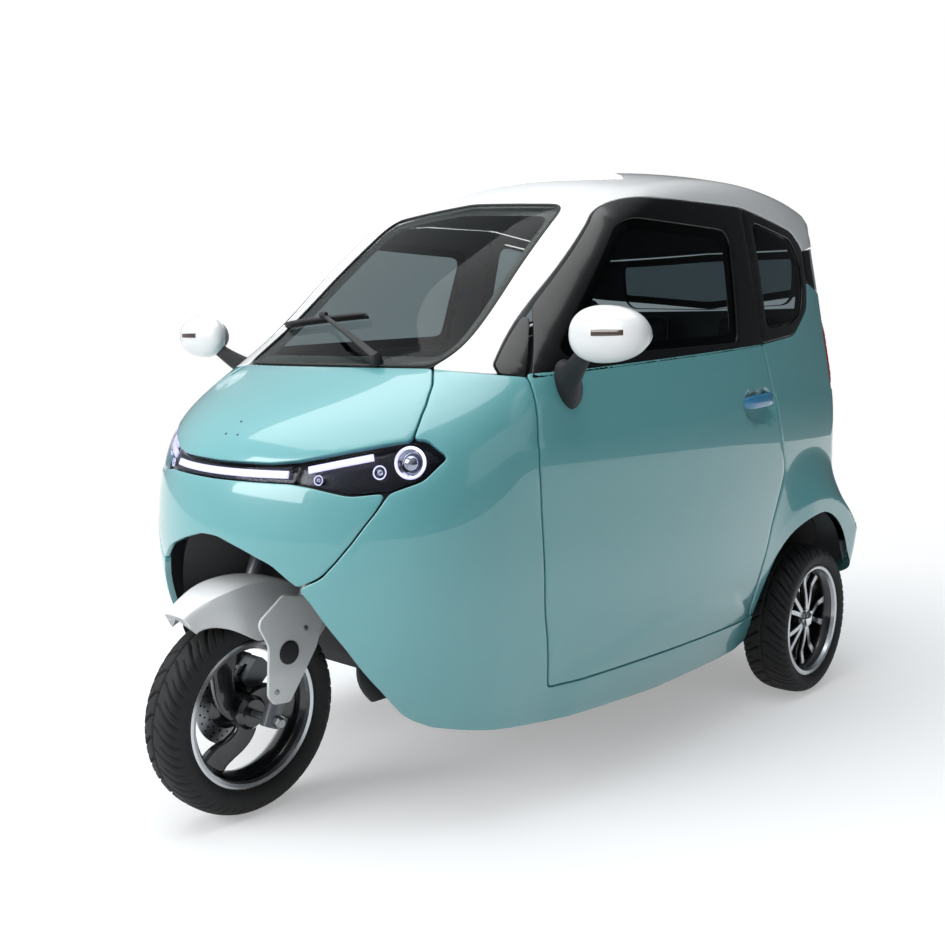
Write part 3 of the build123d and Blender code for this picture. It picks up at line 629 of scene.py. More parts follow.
@dataclass
class Panel:
    """A pressed panel that follows the body's surface inside a seam line.

    Its skin is a grid of surface points. Its rim turns over through a quarter circle,
    runs inward as a flange, and closes on an inner skin.
    """

    chart: Chart
    seam: np.ndarray
    holes: list[np.ndarray] = field(default_factory=list)
    gap: float = 0.0012
    roll: float = 0.0026
    wall: float = 0.024
    step: float = 0.016
    rim_step: float = 0.008
    sink: float = 0.0
    press: Optional[Press] = None
    eased: int = 3

    def surface(self, uv: np.ndarray) -> np.ndarray:
        """Points of the pressed surface for chart parameters."""
        p = BODY.lift(self.chart, uv)
        return self.press(p) if self.press else p

    def normals(self, uv: np.ndarray) -> np.ndarray:
        """Unit normals: the cross product of the surface's two slopes, turned outwards."""
        h = 0.0012
        du, dv = np.array([h, 0.0]), np.array([0.0, h])
        across, up = self.surface(uv + du) - self.surface(uv - du), self.surface(uv + dv) - self.surface(uv - dv)
        cross = np.cross(across, up)
        cross /= np.maximum(np.linalg.norm(cross, axis=1, keepdims=True), 1e-15)
        away = BODY.normal(BODY.lift(self.chart, uv))
        return cross * np.sign(np.sum(cross * away, axis=1))[:, None]

    def rings(self) -> list[np.ndarray]:
        """Seam and hole lines on the chart, eased and evenly spaced."""
        lines = []
        for line in [self.seam] + self.holes:
            closed = np.concatenate([line, line[:1]])
            even = soften(resample(closed, 0.004, True), self.eased)
            even = resample(np.concatenate([even, even[:1]]), self.rim_step, True)
            lines.append(BODY.flatten(self.chart, even))
        return lines

    def build(self) -> Shape:
        """The panel's mesh; mark 0 is the outer face with its rim, mark 1 the inner face."""
        shape = Shape()
        lines = self.rings()
        bounds, base = [], 0
        rim_uv, rim_frames = [], []
        for k, line in enumerate(lines):
            p, n = self.surface(line), self.normals(line)
            along = np.roll(p, -1, 0) - np.roll(p, 1, 0)
            along /= np.maximum(np.linalg.norm(along, axis=1, keepdims=True), 1e-12)
            inward = np.cross(n, along)
            probe = BODY.flatten(self.chart, p + inward * 0.003)
            within = inside_outline(probe, lines[0]) if k == 0 else ~inside_outline(probe, line)
            if np.mean(within) < 0.5:
                inward = -inward
            start = BODY.flatten(self.chart, p + inward * (self.gap + self.roll))
            rim_uv.append(start)
            rim_frames.append((p, n, inward))
            bounds.append((base, len(line)))
            base += len(line)
        edge_uv = np.concatenate(rim_uv)
        low, high = edge_uv.min(0), edge_uv.max(0)
        cell = self.step / self.stretch(rim_frames[0][0])
        u = np.arange(low[0] + cell / 2, high[0], cell)
        v = np.arange(low[1] + cell / 2, high[1], cell)
        inner = np.stack(np.meshgrid(u, v, indexing="ij"), -1).reshape(-1, 2)
        keep = inside_outline(inner, rim_uv[0])
        for ring in rim_uv[1:]:
            keep &= ~inside_outline(inner, ring)
        inner = inner[keep]
        for ring in rim_uv:
            inner = inner[outline_distance(inner, ring) > 0.5 * cell]
        points = np.concatenate([edge_uv, inner])
        edges = [(s + i, s + (i + 1) % n) for s, n in bounds for i in range(n)]
        result = delaunay_2d_cdt([Vector(q) for q in points.tolist()], edges, [], 0, 1e-9)
        flat = np.array([tuple(q) for q in result[0]])
        tris = np.array([list(t) for t in result[2] if len(t) == 3], int)
        middle = flat[tris].mean(1)
        good = inside_outline(middle, rim_uv[0])
        for ring in rim_uv[1:]:
            good &= ~inside_outline(middle, ring)
        tris = tris[good]
        origin = {}
        for new, olds in enumerate(result[3]):
            for old in olds:
                origin[old] = new
        skin, facing = self.surface(flat), self.normals(flat)
        skin = skin - facing * self.sink
        a, b, c = skin[tris[:, 0]], skin[tris[:, 1]], skin[tris[:, 2]]
        wrong = np.sum(np.cross(b - a, c - a) * facing[tris[:, 0]], axis=1) < 0
        tris[wrong] = tris[wrong][:, ::-1]
        first = shape.add(skin, [tris], 0)
        back = shape.add(skin - facing * self.wall, [tris[:, ::-1]], 1)
        bend = np.radians([30, 60, 90])
        for (s, n), (p, normal, inward) in zip(bounds, rim_frames):
            p = p - normal * self.sink
            top = np.array([origin[s + i] for i in range(n)])
            rows = [
                p + inward * (self.gap + self.roll * (1 - math.sin(t))) - normal * self.roll * (1 - math.cos(t))
                for t in bend
            ]
            rows.append(p + inward * self.gap - normal * self.wall)
            ring = np.arange(n)
            start = shape.add(np.concatenate(rows), [], 0)
            levels = [first + top] + [start + k * n + ring for k in range(len(rows))] + [back + top]
            for upper, lower in zip(levels[:-1], levels[1:]):
                quads = np.stack([upper, np.roll(upper, -1), np.roll(lower, -1), lower], -1)
                shape.faces.append(self.turned(shape, quads, inward, ring))
                shape.marks.append(np.zeros(len(quads), int))
        return shape

    @staticmethod
    def turned(shape: Shape, quads: np.ndarray, inward: np.ndarray, ring: np.ndarray) -> np.ndarray:
        """Rim quads turned so that they face away from the panel's middle."""
        verts = np.concatenate(shape.verts)
        a, b, c, d = (verts[quads[:, k]] for k in range(4))
        facing = np.cross(c - a, d - b)
        score = np.sum(facing * -inward[ring])
        return quads if score > 0 else quads[:, ::-1]

    def stretch(self, p: np.ndarray) -> float:
        """Metres of surface for one unit of the chart, near the panel's rim."""
        if self.chart is Chart.CROWN:
            return float(np.mean(p[:, 2] - BODY.hub[2]))
        return 1.0


def on(chart: Chart, corners: Sequence[tuple[float, float, float]], closed: bool = False) -> np.ndarray:
    """Rounded line given in a chart's own coordinates in millimetres, as points on the body."""
    return BODY.lift(chart, rounded_path(corners, 0.004, closed))


def level_line(chart: Chart, start: np.ndarray, end: np.ndarray) -> np.ndarray:
    """Line on the body between two of its points, straight in a chart."""
    a, b = BODY.flatten(chart, start[None])[0], BODY.flatten(chart, end[None])[0]
    steps = max(2, int(np.linalg.norm(b - a) / 0.004))
    return BODY.lift(chart, a + (b - a) * np.linspace(0, 1, steps)[:, None])


def chain(*parts: np.ndarray) -> np.ndarray:
    """Lines joined end to end into one closed line."""
    line = np.concatenate(parts)
    keep = np.linalg.norm(line - np.roll(line, 1, axis=0), axis=1) > 1e-5
    return line[keep]


def both_halves(half: np.ndarray) -> np.ndarray:
    """Closed line from the half that runs from one point of the middle plane to another."""
    other = (half * np.array([-1, 1, 1]))[::-1]
    return chain(half, other)


# Finishes


def node(tree: bpy.types.NodeTree, kind: str, links: Optional[dict] = None, **settings) -> bpy.types.Node:
    """Add a node, set its properties and sockets, and link its inputs.

    Args:
        tree: the material's nodes.
        kind: the node's type name.
        links: input socket to the output socket that feeds it.
        settings: properties by name; a name that is none of the node's own is an input socket.

    Returns:
        The new node.
    """
    new = tree.nodes.new(kind)
    for name, value in settings.items():
        if hasattr(new, name):
            setattr(new, name, value)
        else:
            new.inputs[name.replace("_", " ")].default_value = value
    for socket, source in (links or {}).items():
        tree.links.new(source, new.inputs[socket])
    return new


def blank(name: str) -> tuple[bpy.types.Material, bpy.types.NodeTree, bpy.types.NodeSocket]:
    """A new material, its empty node tree and its Object coordinates."""
    finish = bpy.data.materials.new(name)
    finish.use_nodes = True
    tree = finish.node_tree
    tree.nodes.clear()
    return finish, tree, node(tree, "ShaderNodeTexCoord").outputs["Object"]


@dataclass(frozen=True)
class Finish:
    """A procedural finish: a base colour mottled by noise, with grain in roughness and bump.

    Sizes are in millimetres. Colours are sRGB hex.
    """

    name: str
    colour: str
    mottle: str
    roughness: float
    rough_spread: float = 0.05
    metallic: float = 0.0
    ior: float = 1.5
    coat: float = 0.0
    coat_roughness: float = 0.03
    mottle_mm: float = 300.0
    grain_mm: float = 2.0
    grain_depth_mm: float = 0.0
    glow: float = 0.0
    sheen: float = 0.0

    def make(self) -> bpy.types.Material:
        """Build the material's nodes and return it."""
        finish, tree, place = blank(self.name)
        wide = node(tree, "ShaderNodeTexNoise", {"Vector": place}, Scale=1000 / self.mottle_mm, Detail=3.0)
        fine = node(tree, "ShaderNodeTexNoise", {"Vector": place}, Scale=1000 / self.grain_mm, Detail=2.0)
        colour = node(tree, "ShaderNodeMix", {0: wide.outputs["Fac"]}, data_type="RGBA")
        colour.inputs[6].default_value = linear(self.colour)
        colour.inputs[7].default_value = linear(self.mottle)
        rough = node(
            tree,
            "ShaderNodeMapRange",
            {"Value": fine.outputs["Fac"]},
            To_Min=max(0.0, self.roughness - self.rough_spread),
            To_Max=min(1.0, self.roughness + self.rough_spread),
        )
        shader = node(
            tree,
            "ShaderNodeBsdfPrincipled",
            {"Base Color": colour.outputs[2], "Roughness": rough.outputs["Result"]},
            Metallic=self.metallic,
            IOR=self.ior,
        )
        shader.inputs["Coat Weight"].default_value = self.coat
        shader.inputs["Coat Roughness"].default_value = self.coat_roughness
        shader.inputs["Sheen Weight"].default_value = self.sheen
        if self.grain_depth_mm:
            bump = node(
                tree,
                "ShaderNodeBump",
                {"Height": fine.outputs["Fac"]},
                Strength=1.0,
                Distance=self.grain_depth_mm * MM,
            )
            tree.links.new(bump.outputs["Normal"], shader.inputs["Normal"])
        if self.glow:
            tree.links.new(colour.outputs[2], shader.inputs["Emission Color"])
            shader.inputs["Emission Strength"].default_value = self.glow
        node(tree, "ShaderNodeOutputMaterial", {"Surface": shader.outputs["BSDF"]})
        return finish


@dataclass(frozen=True)
class Glass:
    """Thin safety glass: light passes straight through a tint, and a Fresnel share is mirrored."""

    name: str
    tint: str
    body: float
    shade: str = "0a0d0f"

    def make(self) -> bpy.types.Material:
        """Build the material's nodes and return it."""
        finish, tree, place = blank(self.name)
        haze = node(tree, "ShaderNodeTexNoise", {"Vector": place}, Scale=6.0, Detail=2.0)
        rough = node(tree, "ShaderNodeMapRange", {"Value": haze.outputs["Fac"]}, To_Min=0.01, To_Max=0.03)
        clear = node(tree, "ShaderNodeBsdfTransparent", Color=linear(self.tint))
        gloss = node(
            tree,
            "ShaderNodeBsdfPrincipled",
            {"Roughness": rough.outputs["Result"]},
            Base_Color=linear(self.shade),
            IOR=1.52,
        )
        gloss.inputs["Coat Weight"].default_value = 1.0
        edge = node(tree, "ShaderNodeFresnel", IOR=1.52)
        share = node(
            tree,
            "ShaderNodeMapRange",
            {"Value": edge.outputs["Fac"]},
            To_Min=self.body,
            To_Max=1.0,
        )
        # Only the face that the light meets first mirrors it; inside the pane nothing is reflected back
        inner = node(tree, "ShaderNodeNewGeometry").outputs["Backfacing"]
        first = node(
            tree, "ShaderNodeMath", {0: share.outputs["Result"], 1: inner}, operation="SUBTRACT", use_clamp=True
        )
        mix = node(
            tree,
            "ShaderNodeMixShader",
            {0: first.outputs["Value"], 1: clear.outputs["BSDF"], 2: gloss.outputs["BSDF"]},
        )
        node(tree, "ShaderNodeOutputMaterial", {"Surface": mix.outputs["Shader"]})
        return finish


class Stock:
    """Every finish of the vehicle, made once and asked for by name."""

    # Two-coat car paint: a pale turquoise base under clear lacquer, with a trace of orange peel
    teal = Finish("turquoise two-coat paint", "66acb0", "6ab0b4", 0.30, 0.03, coat=1.0, coat_roughness=0.02,
                  mottle_mm=900, grain_mm=9, grain_depth_mm=0.012)
    white = Finish("white two-coat paint", "eceeee", "f1f2f2", 0.34, 0.03, coat=1.0, coat_roughness=0.03,
                   mottle_mm=900, grain_mm=9, grain_depth_mm=0.012)
    # Moulded gloss black cover strips
    gloss_black = Finish("gloss black moulded trim", "060708", "08090a", 0.26, 0.03, ior=1.4, coat=0.2, mottle_mm=500)
    # Grained polypropylene: fine pebbled mould texture that scatters highlights
    plastic = Finish("grained black polypropylene", "15161a", "1b1c20", 0.58, 0.08, mottle_mm=120, grain_mm=1.6,
                     grain_depth_mm=0.10)
    trim = Finish("moulded grey cabin lining", "7c7f82", "84878a", 0.66, 0.08, mottle_mm=160, grain_mm=1.8,
                  grain_depth_mm=0.12)
    rubber = Finish("tyre rubber", "111113", "1a1a1b", 0.72, 0.10, mottle_mm=60, grain_mm=3, grain_depth_mm=0.10)
    seal = Finish("extruded rubber seal", "0b0b0c", "101011", 0.62, 0.06, mottle_mm=80)
    black_alloy = Finish("gloss black painted alloy", "0c0d0f", "111214", 0.24, 0.04, coat=0.8, mottle_mm=200)
    # Face turned bright on a lathe, under lacquer
    machined = Finish("machined alloy face", "c6c9cc", "b4b8bc", 0.24, 0.08, metallic=1.0, mottle_mm=40, grain_mm=1.2)
    chrome = Finish("chrome plate", "dfe2e4", "d2d6d9", 0.07, 0.03, metallic=1.0, mottle_mm=60)
    fork_grey = Finish("grey painted steel", "5f6367", "6b6f73", 0.38, 0.06, metallic=0.35, coat=0.3, mottle_mm=90)
    frame_black = Finish("black powder-coated steel", "17181a", "1e1f21", 0.52, 0.08, mottle_mm=70, grain_mm=2.5,
                         grain_depth_mm=0.06)
    disc = Finish("ground steel disc", "8d9094", "a4a7aa", 0.34, 0.10, metallic=1.0, mottle_mm=25, grain_mm=0.9)
    casting = Finish("sand-cast motor housing", "777b80", "868a8e", 0.55, 0.12, metallic=0.8, mottle_mm=30, grain_mm=2,
                     grain_depth_mm=0.15)
    bolt = Finish("zinc-plated bolt", "8b8e90", "9b9e9f", 0.35, 0.08, metallic=1.0, mottle_mm=10)
    # Coated upholstery: pebbled grain about a millimetre across, with a soft sheen
    cover = Finish("charcoal synthetic leather", "2a2c2f", "323438", 0.50, 0.08, mottle_mm=90, grain_mm=1.4,
                   grain_depth_mm=0.22, sheen=0.15)
    thread = Finish("pale grey stitching", "8f9295", "a3a6a8", 0.75, 0.05, mottle_mm=8)
    carpet = Finish("ribbed rubber floor mat", "1c1d1f", "242527", 0.80, 0.08, mottle_mm=40, grain_mm=2.2,
                    grain_depth_mm=0.4)
    lamp_well = Finish("black lamp housing", "0b0c10", "121318", 0.28, 0.05, coat=0.5, mottle_mm=60)
    # Glowing light guide of the lamps; the projectors' outer rings glow with it too, as a painted highlight of bright
    # chrome
    led = Finish("white light guide", "e9e6ff", "dcd8fb", 0.30, 0.04, mottle_mm=30, glow=1.15)
    reflector = Finish("aluminised reflector", "d4d6dc", "b9bcc4", 0.12, 0.05, metallic=1.0, mottle_mm=15)
    red_lens = Finish("red acrylic lens", "8e0f14", "a5161b", 0.12, 0.04, coat=1.0, mottle_mm=25)
    amber_lens = Finish("smoked amber lens", "4a2c12", "2a1a10", 0.15, 0.05, coat=1.0, mottle_mm=15)
    handle_blue = Finish("blue protective film", "2b83b5", "3a93c2", 0.20, 0.05, coat=0.7, mottle_mm=40)
    silver_glass = Finish("silvered mirror glass", "e8eaec", "e2e5e8", 0.02, 0.01, metallic=1.0, mottle_mm=200)
    white_plastic = Finish("gloss white moulded plastic", "eceded", "e4e6e6", 0.30, 0.05, coat=0.6, mottle_mm=200)
    case_blue = Finish("painted battery case", "2b2f36", "343942", 0.50, 0.08, mottle_mm=60, grain_mm=2,
                       grain_depth_mm=0.08)
    screen_glass = Glass("laminated windscreen glass", "f2f6f5", 0.03)
    dark_glass = Glass("privacy tinted glass", "b0b8bb", 0.06)
    lamp_glass = Glass("clear polycarbonate lamp cover", "f0f1f6", 0.03, "0a0c14")

    def __init__(self) -> None:
        """Start with nothing made."""
        self.made: dict[str, bpy.types.Material] = {}

    def __getitem__(self, name: str) -> bpy.types.Material:
        """The material of a finish, made the first time it is asked for."""
        if name not in self.made:
            self.made[name] = getattr(Stock, name).make()
        return self.made[name]


STOCK = Stock()


def pair(shape: Shape, name: str, finishes: Sequence[bpy.types.Material], slot: str, each: str = "",
         once: Sequence[str] = (), on_door: bool = False) -> None:
    """Finish a left-hand shape and its mirror image, named and placed by their side.

    Args:
        shape: the left-hand shape.
        name: name of both pieces, before their side.
        finishes: materials, in the order of the marks.
        slot: the record's material slot.
        each: frame node that each piece stands for, before its side.
        once: frame nodes of both sides, which the left piece stands for.
        on_door: whether each rides on the door of its side instead of the body.
    """
    for side in ("right", "left"):
        nodes = [f"{each}_{side}"] if each else []
        nodes += once if side == "left" else []
        piece = shape if side == "left" else shape.mirrored()
        piece.finish(f"{name}_{side}", finishes, f"{side}_door" if on_door else "body", nodes, slot)


# Outlines of the panels, in millimetres: two coordinates and a corner radius

DOOR_FRONT = [(-452, 280, 10), (-510, 470, 300), (-536, 800, 400), (-519, 968, 3)]
DOOR_BACK = [(460, 1030, 40), (560, 690, 60), (475, 540, 80), (440, 400, 80), (432, 280, 12)]
DOOR_WINDOW = [(-432, 1009, 14), (-112, 1334, 120), (345, 1334, 40), (305, 1047, 24)]
QUARTER_WINDOW = [
    (500, 1374, 20),
    (775, 1347, 70),
    (838, 1290, 40),
    (832, 1205, 60),
    (780, 1132, 60),
    (690, 1100, 80),
    (500, 1082, 20),
]
# Edge that the quarter window's black frame shares with the roof and with the rear side panel
QUARTER_TOP = [(446, 1409, 8), (790, 1374, 110), (866, 1339, 40), (878, 1321, 6)]
QUARTER_LOW = [(880, 1230, 10), (856, 1149, 90), (700, 1067, 120), (457, 1040, 8)]
BELT_FRONT_Z = 976
BELT_REAR_Z = 1046
SILL_Z = 280
REAR_LOW_Z = 268
ARCH_Y, ARCH_Z, ARCH_R = 755, 262, 285


# Wheel arch flare in metres: where it begins and how far in it is full, round the wheel, and how far out it stands
FLARE_FAR, FLARE_FADE, FLARE_X = 0.470, 0.135, 0.590
# How far the crease at the waist and the ledge low on the door stand proud, in metres
WAIST_PROUD, LEDGE_PROUD = 0.0032, 0.011
# Low ledge of the side. Columns: y, z of its top edge
LEDGE_TOP = np.array(
    [(-0.42, 0.322), (-0.30, 0.345), (-0.085, 0.398), (0.123, 0.402), (0.30, 0.385), (0.42, 0.335)]
)


def step_up(value: np.ndarray) -> np.ndarray:
    """Smooth step from 0 to 1: three times the square less twice the cube."""
    t = np.clip(value, 0, 1)
    return t * t * (3 - 2 * t)


def flare(p: np.ndarray) -> np.ndarray:
    """Wheel arch flare: near the arch the panel swells out to the flare's width, most at the top and behind."""
    y, z = p[:, 1] - ARCH_Y * MM, p[:, 2] - ARCH_Z * MM
    far = np.hypot(y, z)
    swell = np.clip((FLARE_FAR - far) / FLARE_FADE, 0, 1) ** 1.7
    behind = 1 - step_up((-y / np.maximum(far, 0.01) - 0.15) / 0.70)
    side = np.sign(p[:, 0])
    out = p.copy()
    gain = np.maximum(FLARE_X - np.abs(p[:, 0]), 0) * swell * behind * step_up((np.abs(p[:, 0]) - 0.40) / 0.10)
    out[:, 0] += side * gain
    return out


def waist_crease(p: np.ndarray) -> np.ndarray:
    """Feature line along the side at handle height: the skin under it stands 3 mm proud and fades below."""
    line = 0.832 + 0.072 * (p[:, 1] + 0.545) - 0.06 * np.maximum(p[:, 1] - 0.45, 0)
    below = line - p[:, 2]
    amount = WAIST_PROUD * step_up(below / 0.010) * (1 - step_up((below - 0.02) / 0.16))
    amount *= step_up((p[:, 1] + 0.62) / 0.10)
    return p + np.sign(p[:, :1]) * np.array([[1.0, 0, 0]]) * amount[:, None]


def door_swell(p: np.ndarray) -> np.ndarray:
    """Lower ledge of the side: a long facet that leans upward where the skin steps out towards the sill."""
    y, z = p[:, 1], p[:, 2]
    top = np.interp(y, LEDGE_TOP[:, 0], LEDGE_TOP[:, 1])
    amount = LEDGE_PROUD * step_up((top - z) / 0.045) * step_up((y + 0.46) / 0.12) * step_up((0.47 - y) / 0.10)
    return p + np.sign(p[:, :1]) * np.array([[1.0, 0, 0]]) * amount[:, None]


def side_press(p: np.ndarray) -> np.ndarray:
    """Crease and ledge of the doors and sills."""
    return door_swell(waist_crease(p))


def quarter_press(p: np.ndarray) -> np.ndarray:
    """Crease, ledge and wheel arch flare of the rear side panels."""
    return flare(side_press(p))


@dataclass
class CabPanels:
    """Painted outer panels of the cab, each a rolled-edge pressing inside its seam line."""

    hood_step: float = 0.013
    side_step: float = 0.015
    badge_holes: tuple[tuple[float, float], ...] = ((-0.012, 0.866), (-0.030, 0.840), (0.012, 0.840))
    badge_hole_r: float = 0.0028
    plate_half: tuple[float, float] = (0.235, 0.085)
    plate_hole_x: float = 0.080
    plate_z: float = 0.560

    def pillar_foot(self) -> np.ndarray:
        """Where the hood's side seam meets the white pillar, on the body."""
        return BODY.lift(Chart.FRONT, np.array([[0.326, 0.982]]))[0]

    def hood(self) -> None:
        """Hood between the windscreen and the lamps."""
        half = on(
            Chart.FRONT,
            [
                (0, 984, 0),
                (323, 984, 16),
                (360, 950, 60),
                (385, 911, 60),
                (399, 873, 60),
                (405, 843, 6),
                (387, 840, 30),
                (307, 821, 90),
                (212, 798, 60),
                (150, 790, 60),
                (0, 788, 0),
            ],
        )
        panel = Panel(Chart.FRONT, both_halves(half), step=self.hood_step, wall=0.014)
        panel.build().finish("hood_skin", [STOCK["teal"], STOCK["trim"]], "body", ["hood"], "teal_paint")
        # The badge's fixing holes are plugs in the black seal finish, a hair proud of the skin: painted shade for the
        # dark inside of each hole
        holes = Shape()
        for x, z in self.badge_holes:
            spot = BODY.lift(Chart.FRONT, np.array([[x, z]]))
            facing = BODY.normal(spot)
            ends = np.concatenate([spot - facing * 0.002, spot + facing * 0.0004])
            holes.add(*sweep(ends, np.array([1.0, 0, 0]), circle(self.badge_hole_r, 12)))
        holes.finish("hood_badge_hole_shade", [STOCK["seal"]], "body", slot="black_plastic")

    def bumper(self) -> None:
        """Nose panel between the lamps and the front wheel arch."""
        half = on(
            Chart.FRONT,
            [
                (0, 751, 0),
                (212, 753, 60),
                (252, 748, 60),
                (330, 733, 80),
                (393, 742, 6),
                (379, 705, 60),
                (340, 638, 90),
                (314, 601, 60),
                (285, 567, 50),
                (244, 546, 12),
                (236, 543, 5),
                (179, 585, 90),
                (102, 611, 90),
                (31, 630, 60),
                (0, 631, 0),
            ],
        )
        panel = Panel(Chart.FRONT, both_halves(half), step=self.hood_step, wall=0.010)
        panel.build().finish("nose_panel", [STOCK["teal"], STOCK["plastic"]], "body", ["front_bumper"], "teal_paint")

    def front_quarter_seam(self) -> np.ndarray:
        """Left front side panel with the sill: round the lamp, the arch, the sill and the door opening."""
        front = on(
            Chart.FRONT,
            [
                (326, 982, 0),
                (361, 950, 60),
                (386, 911, 60),
                (400, 873, 60),
                (406, 845, 4),
                (427, 845, 16),
                (466, 811, 6),
                (443, 765, 24),
                (396, 741, 6),
                (380, 705, 60),
                (341, 638, 90),
                (315, 601, 60),
                (286, 566, 50),
                (245, 545, 12),
                (237, 541, 5),
                (261, 511, 60),
                (311, 417, 120),
                (341, 320, 90),
                (352, 250, 40),
                (387, 226, 0),
            ],
        )
        corner = BODY.lift(Chart.SIDE, np.array([[-0.600, 0.208]]))[0]
        low = on(Chart.SIDE, [(-600, 208, 0), (-431, 190, 250), (-34, 178, 400), (300, 186, 300), (476, 197, 12),
                              (472, SILL_Z, 0)])
        sill = on(Chart.SIDE, [(470, SILL_Z, 0)] + DOOR_FRONT)
        foot = BODY.lift(Chart.SIDE, np.array([[-0.519, 0.968]]))[0]
        return chain(
            front,
            level_line(Chart.NOSE, front[-1], corner)[1:-1],
            low,
            sill,
            level_line(Chart.NOSE, foot, self.pillar_foot())[1:-1],
        )

    def front_quarters(self) -> None:
        """Front side panels and sills."""
        panel = Panel(Chart.NOSE, self.front_quarter_seam(), step=self.side_step, press=side_press, wall=0.014)
        finishes = [STOCK["teal"], STOCK["trim"]]
        pair(panel.build(), "front_side", finishes, "teal_paint", "front_quarter", ["sills"])

    def roof(self) -> None:
        """White upper frame: roof, screen pillars, cant rails and rear corners."""
        screen = on(Chart.FRONT, [(0, 1396, 0), (296, 1374, 35), (337, 1018, 80), (316, 984, 6), (326, 982, 0)])
        side_start = BODY.lift(Chart.SIDE, np.array([[-0.566, 0.971]]))[0]
        side = on(
            Chart.SIDE,
            [(-566, 971, 0), (-560, 990, 14), (-95, 1391, 250)] + QUARTER_TOP + [(1000, 1344, 0)],
        )
        tail_point = BODY.lift(Chart.REAR, np.array([[0.0, 1.352]]))[0]
        half = np.concatenate(
            [
                screen,
                level_line(Chart.NOSE, self.pillar_foot(), side_start)[1:-1],
                side,
                level_line(Chart.TAIL, side[-1], tail_point)[1:],
            ]
        )
        panel = Panel(Chart.CROWN, both_halves(half), step=0.020, wall=0.026)
        panel.build().finish("roof_shell", [STOCK["white"], STOCK["trim"]], "body", ["roof_frame"], "white_paint")

    def rear_quarter_seam(self) -> np.ndarray:
        """Left rear side panel: door opening, side window, dark band, lamp, tail seam and wheel arch."""
        side = on(
            Chart.SIDE,
            [(470, SILL_Z, 0)] + DOOR_BACK[:0:-1] + QUARTER_LOW[::-1] + [(1000, 1203, 0)],
        )
        seam_top = BODY.lift(Chart.REAR, np.array([[0.400, 1.160]]))[0]
        tail = on(Chart.REAR, [(400, 1160, 0), (400, 1122, 0)])
        lamp_top = BODY.lift(Chart.SIDE, np.array([[1.000, 1.120]]))[0]
        lamp_low = BODY.lift(Chart.SIDE, np.array([[1.000, 0.900]]))[0]
        tail_low = on(Chart.REAR, [(400, 900, 0), (400, REAR_LOW_Z, 0)])
        start, end = math.asin((REAR_LOW_Z - ARCH_Z) / ARCH_R), math.pi - math.asin((SILL_Z - ARCH_Z) / ARCH_R)
        angle = np.linspace(start, end, 120)
        arch = np.stack([ARCH_Y + ARCH_R * np.cos(angle), ARCH_Z + ARCH_R * np.sin(angle)], -1) * MM
        arch_line = BODY.lift(Chart.SIDE, arch)
        return chain(
            side,
            level_line(Chart.TAIL, side[-1], seam_top)[1:-1],
            tail,
            level_line(Chart.TAIL, tail[-1], lamp_top)[1:-1],
            level_line(Chart.TAIL, lamp_top, lamp_low),
            level_line(Chart.TAIL, lamp_low, tail_low[0])[1:-1],
            tail_low,
            level_line(Chart.TAIL, tail_low[-1], arch_line[0])[1:-1],
            arch_line,
        )

    def rear_quarters(self) -> None:
        """Rear side panels with their flares."""
        panel = Panel(Chart.TAIL, self.rear_quarter_seam(), step=0.012, press=quarter_press, wall=0.022, eased=4)
        pair(panel.build(), "rear_side", [STOCK["teal"], STOCK["trim"]], "teal_paint", "rear_quarter")

    def tail(self) -> None:
        """Tail panel with the recess for a number plate."""
        half = on(Chart.REAR, [(0, 1158, 0), (400, 1160, 10), (400, REAR_LOW_Z, 25), (0, REAR_LOW_Z, 0)])

        def plate_recess(p: np.ndarray) -> np.ndarray:
            """Crease across the panel, and under it a shallow rectangular recess round the plate holes."""
            half_x, half_z = self.plate_half
            across, up = np.abs(p[:, 0]), np.abs(p[:, 2] - self.plate_z)
            depth = 0.010 * step_up((half_x - across) / 0.02) * step_up((half_z - up) / 0.02)
            crease = 0.004 * step_up((0.760 - p[:, 2]) / 0.012)
            return p + np.array([[0, 1.0, 0]]) * (crease - depth)[:, None]

        panel = Panel(Chart.REAR, both_halves(half), step=0.015, press=plate_recess)
        panel.build().finish("tail_skin", [STOCK["teal"], STOCK["trim"]], "body", ["tail_panel"], "teal_paint")
        # The plate holes are plugs in the black seal finish, a little proud of the recess: painted shade for the dark
        # inside of each hole
        holes = Shape()
        for x in (-self.plate_hole_x, self.plate_hole_x):
            spot = panel.surface(np.array([[x, self.plate_z]]))[0]
            ends = np.array([spot + [0, -0.004, 0], spot + [0, 0.0006, 0]])
            holes.add(*sweep(ends, np.array([0, 0, 1.0]), circle(0.0035, 16)))
        holes.finish("plate_hole_shade", [STOCK["seal"]], "body", slot="black_plastic")

    def build(self) -> None:
        """Every painted panel."""
        self.hood()
        self.bumper()
        self.front_quarters()
        self.roof()
        self.rear_quarters()
        self.tail()


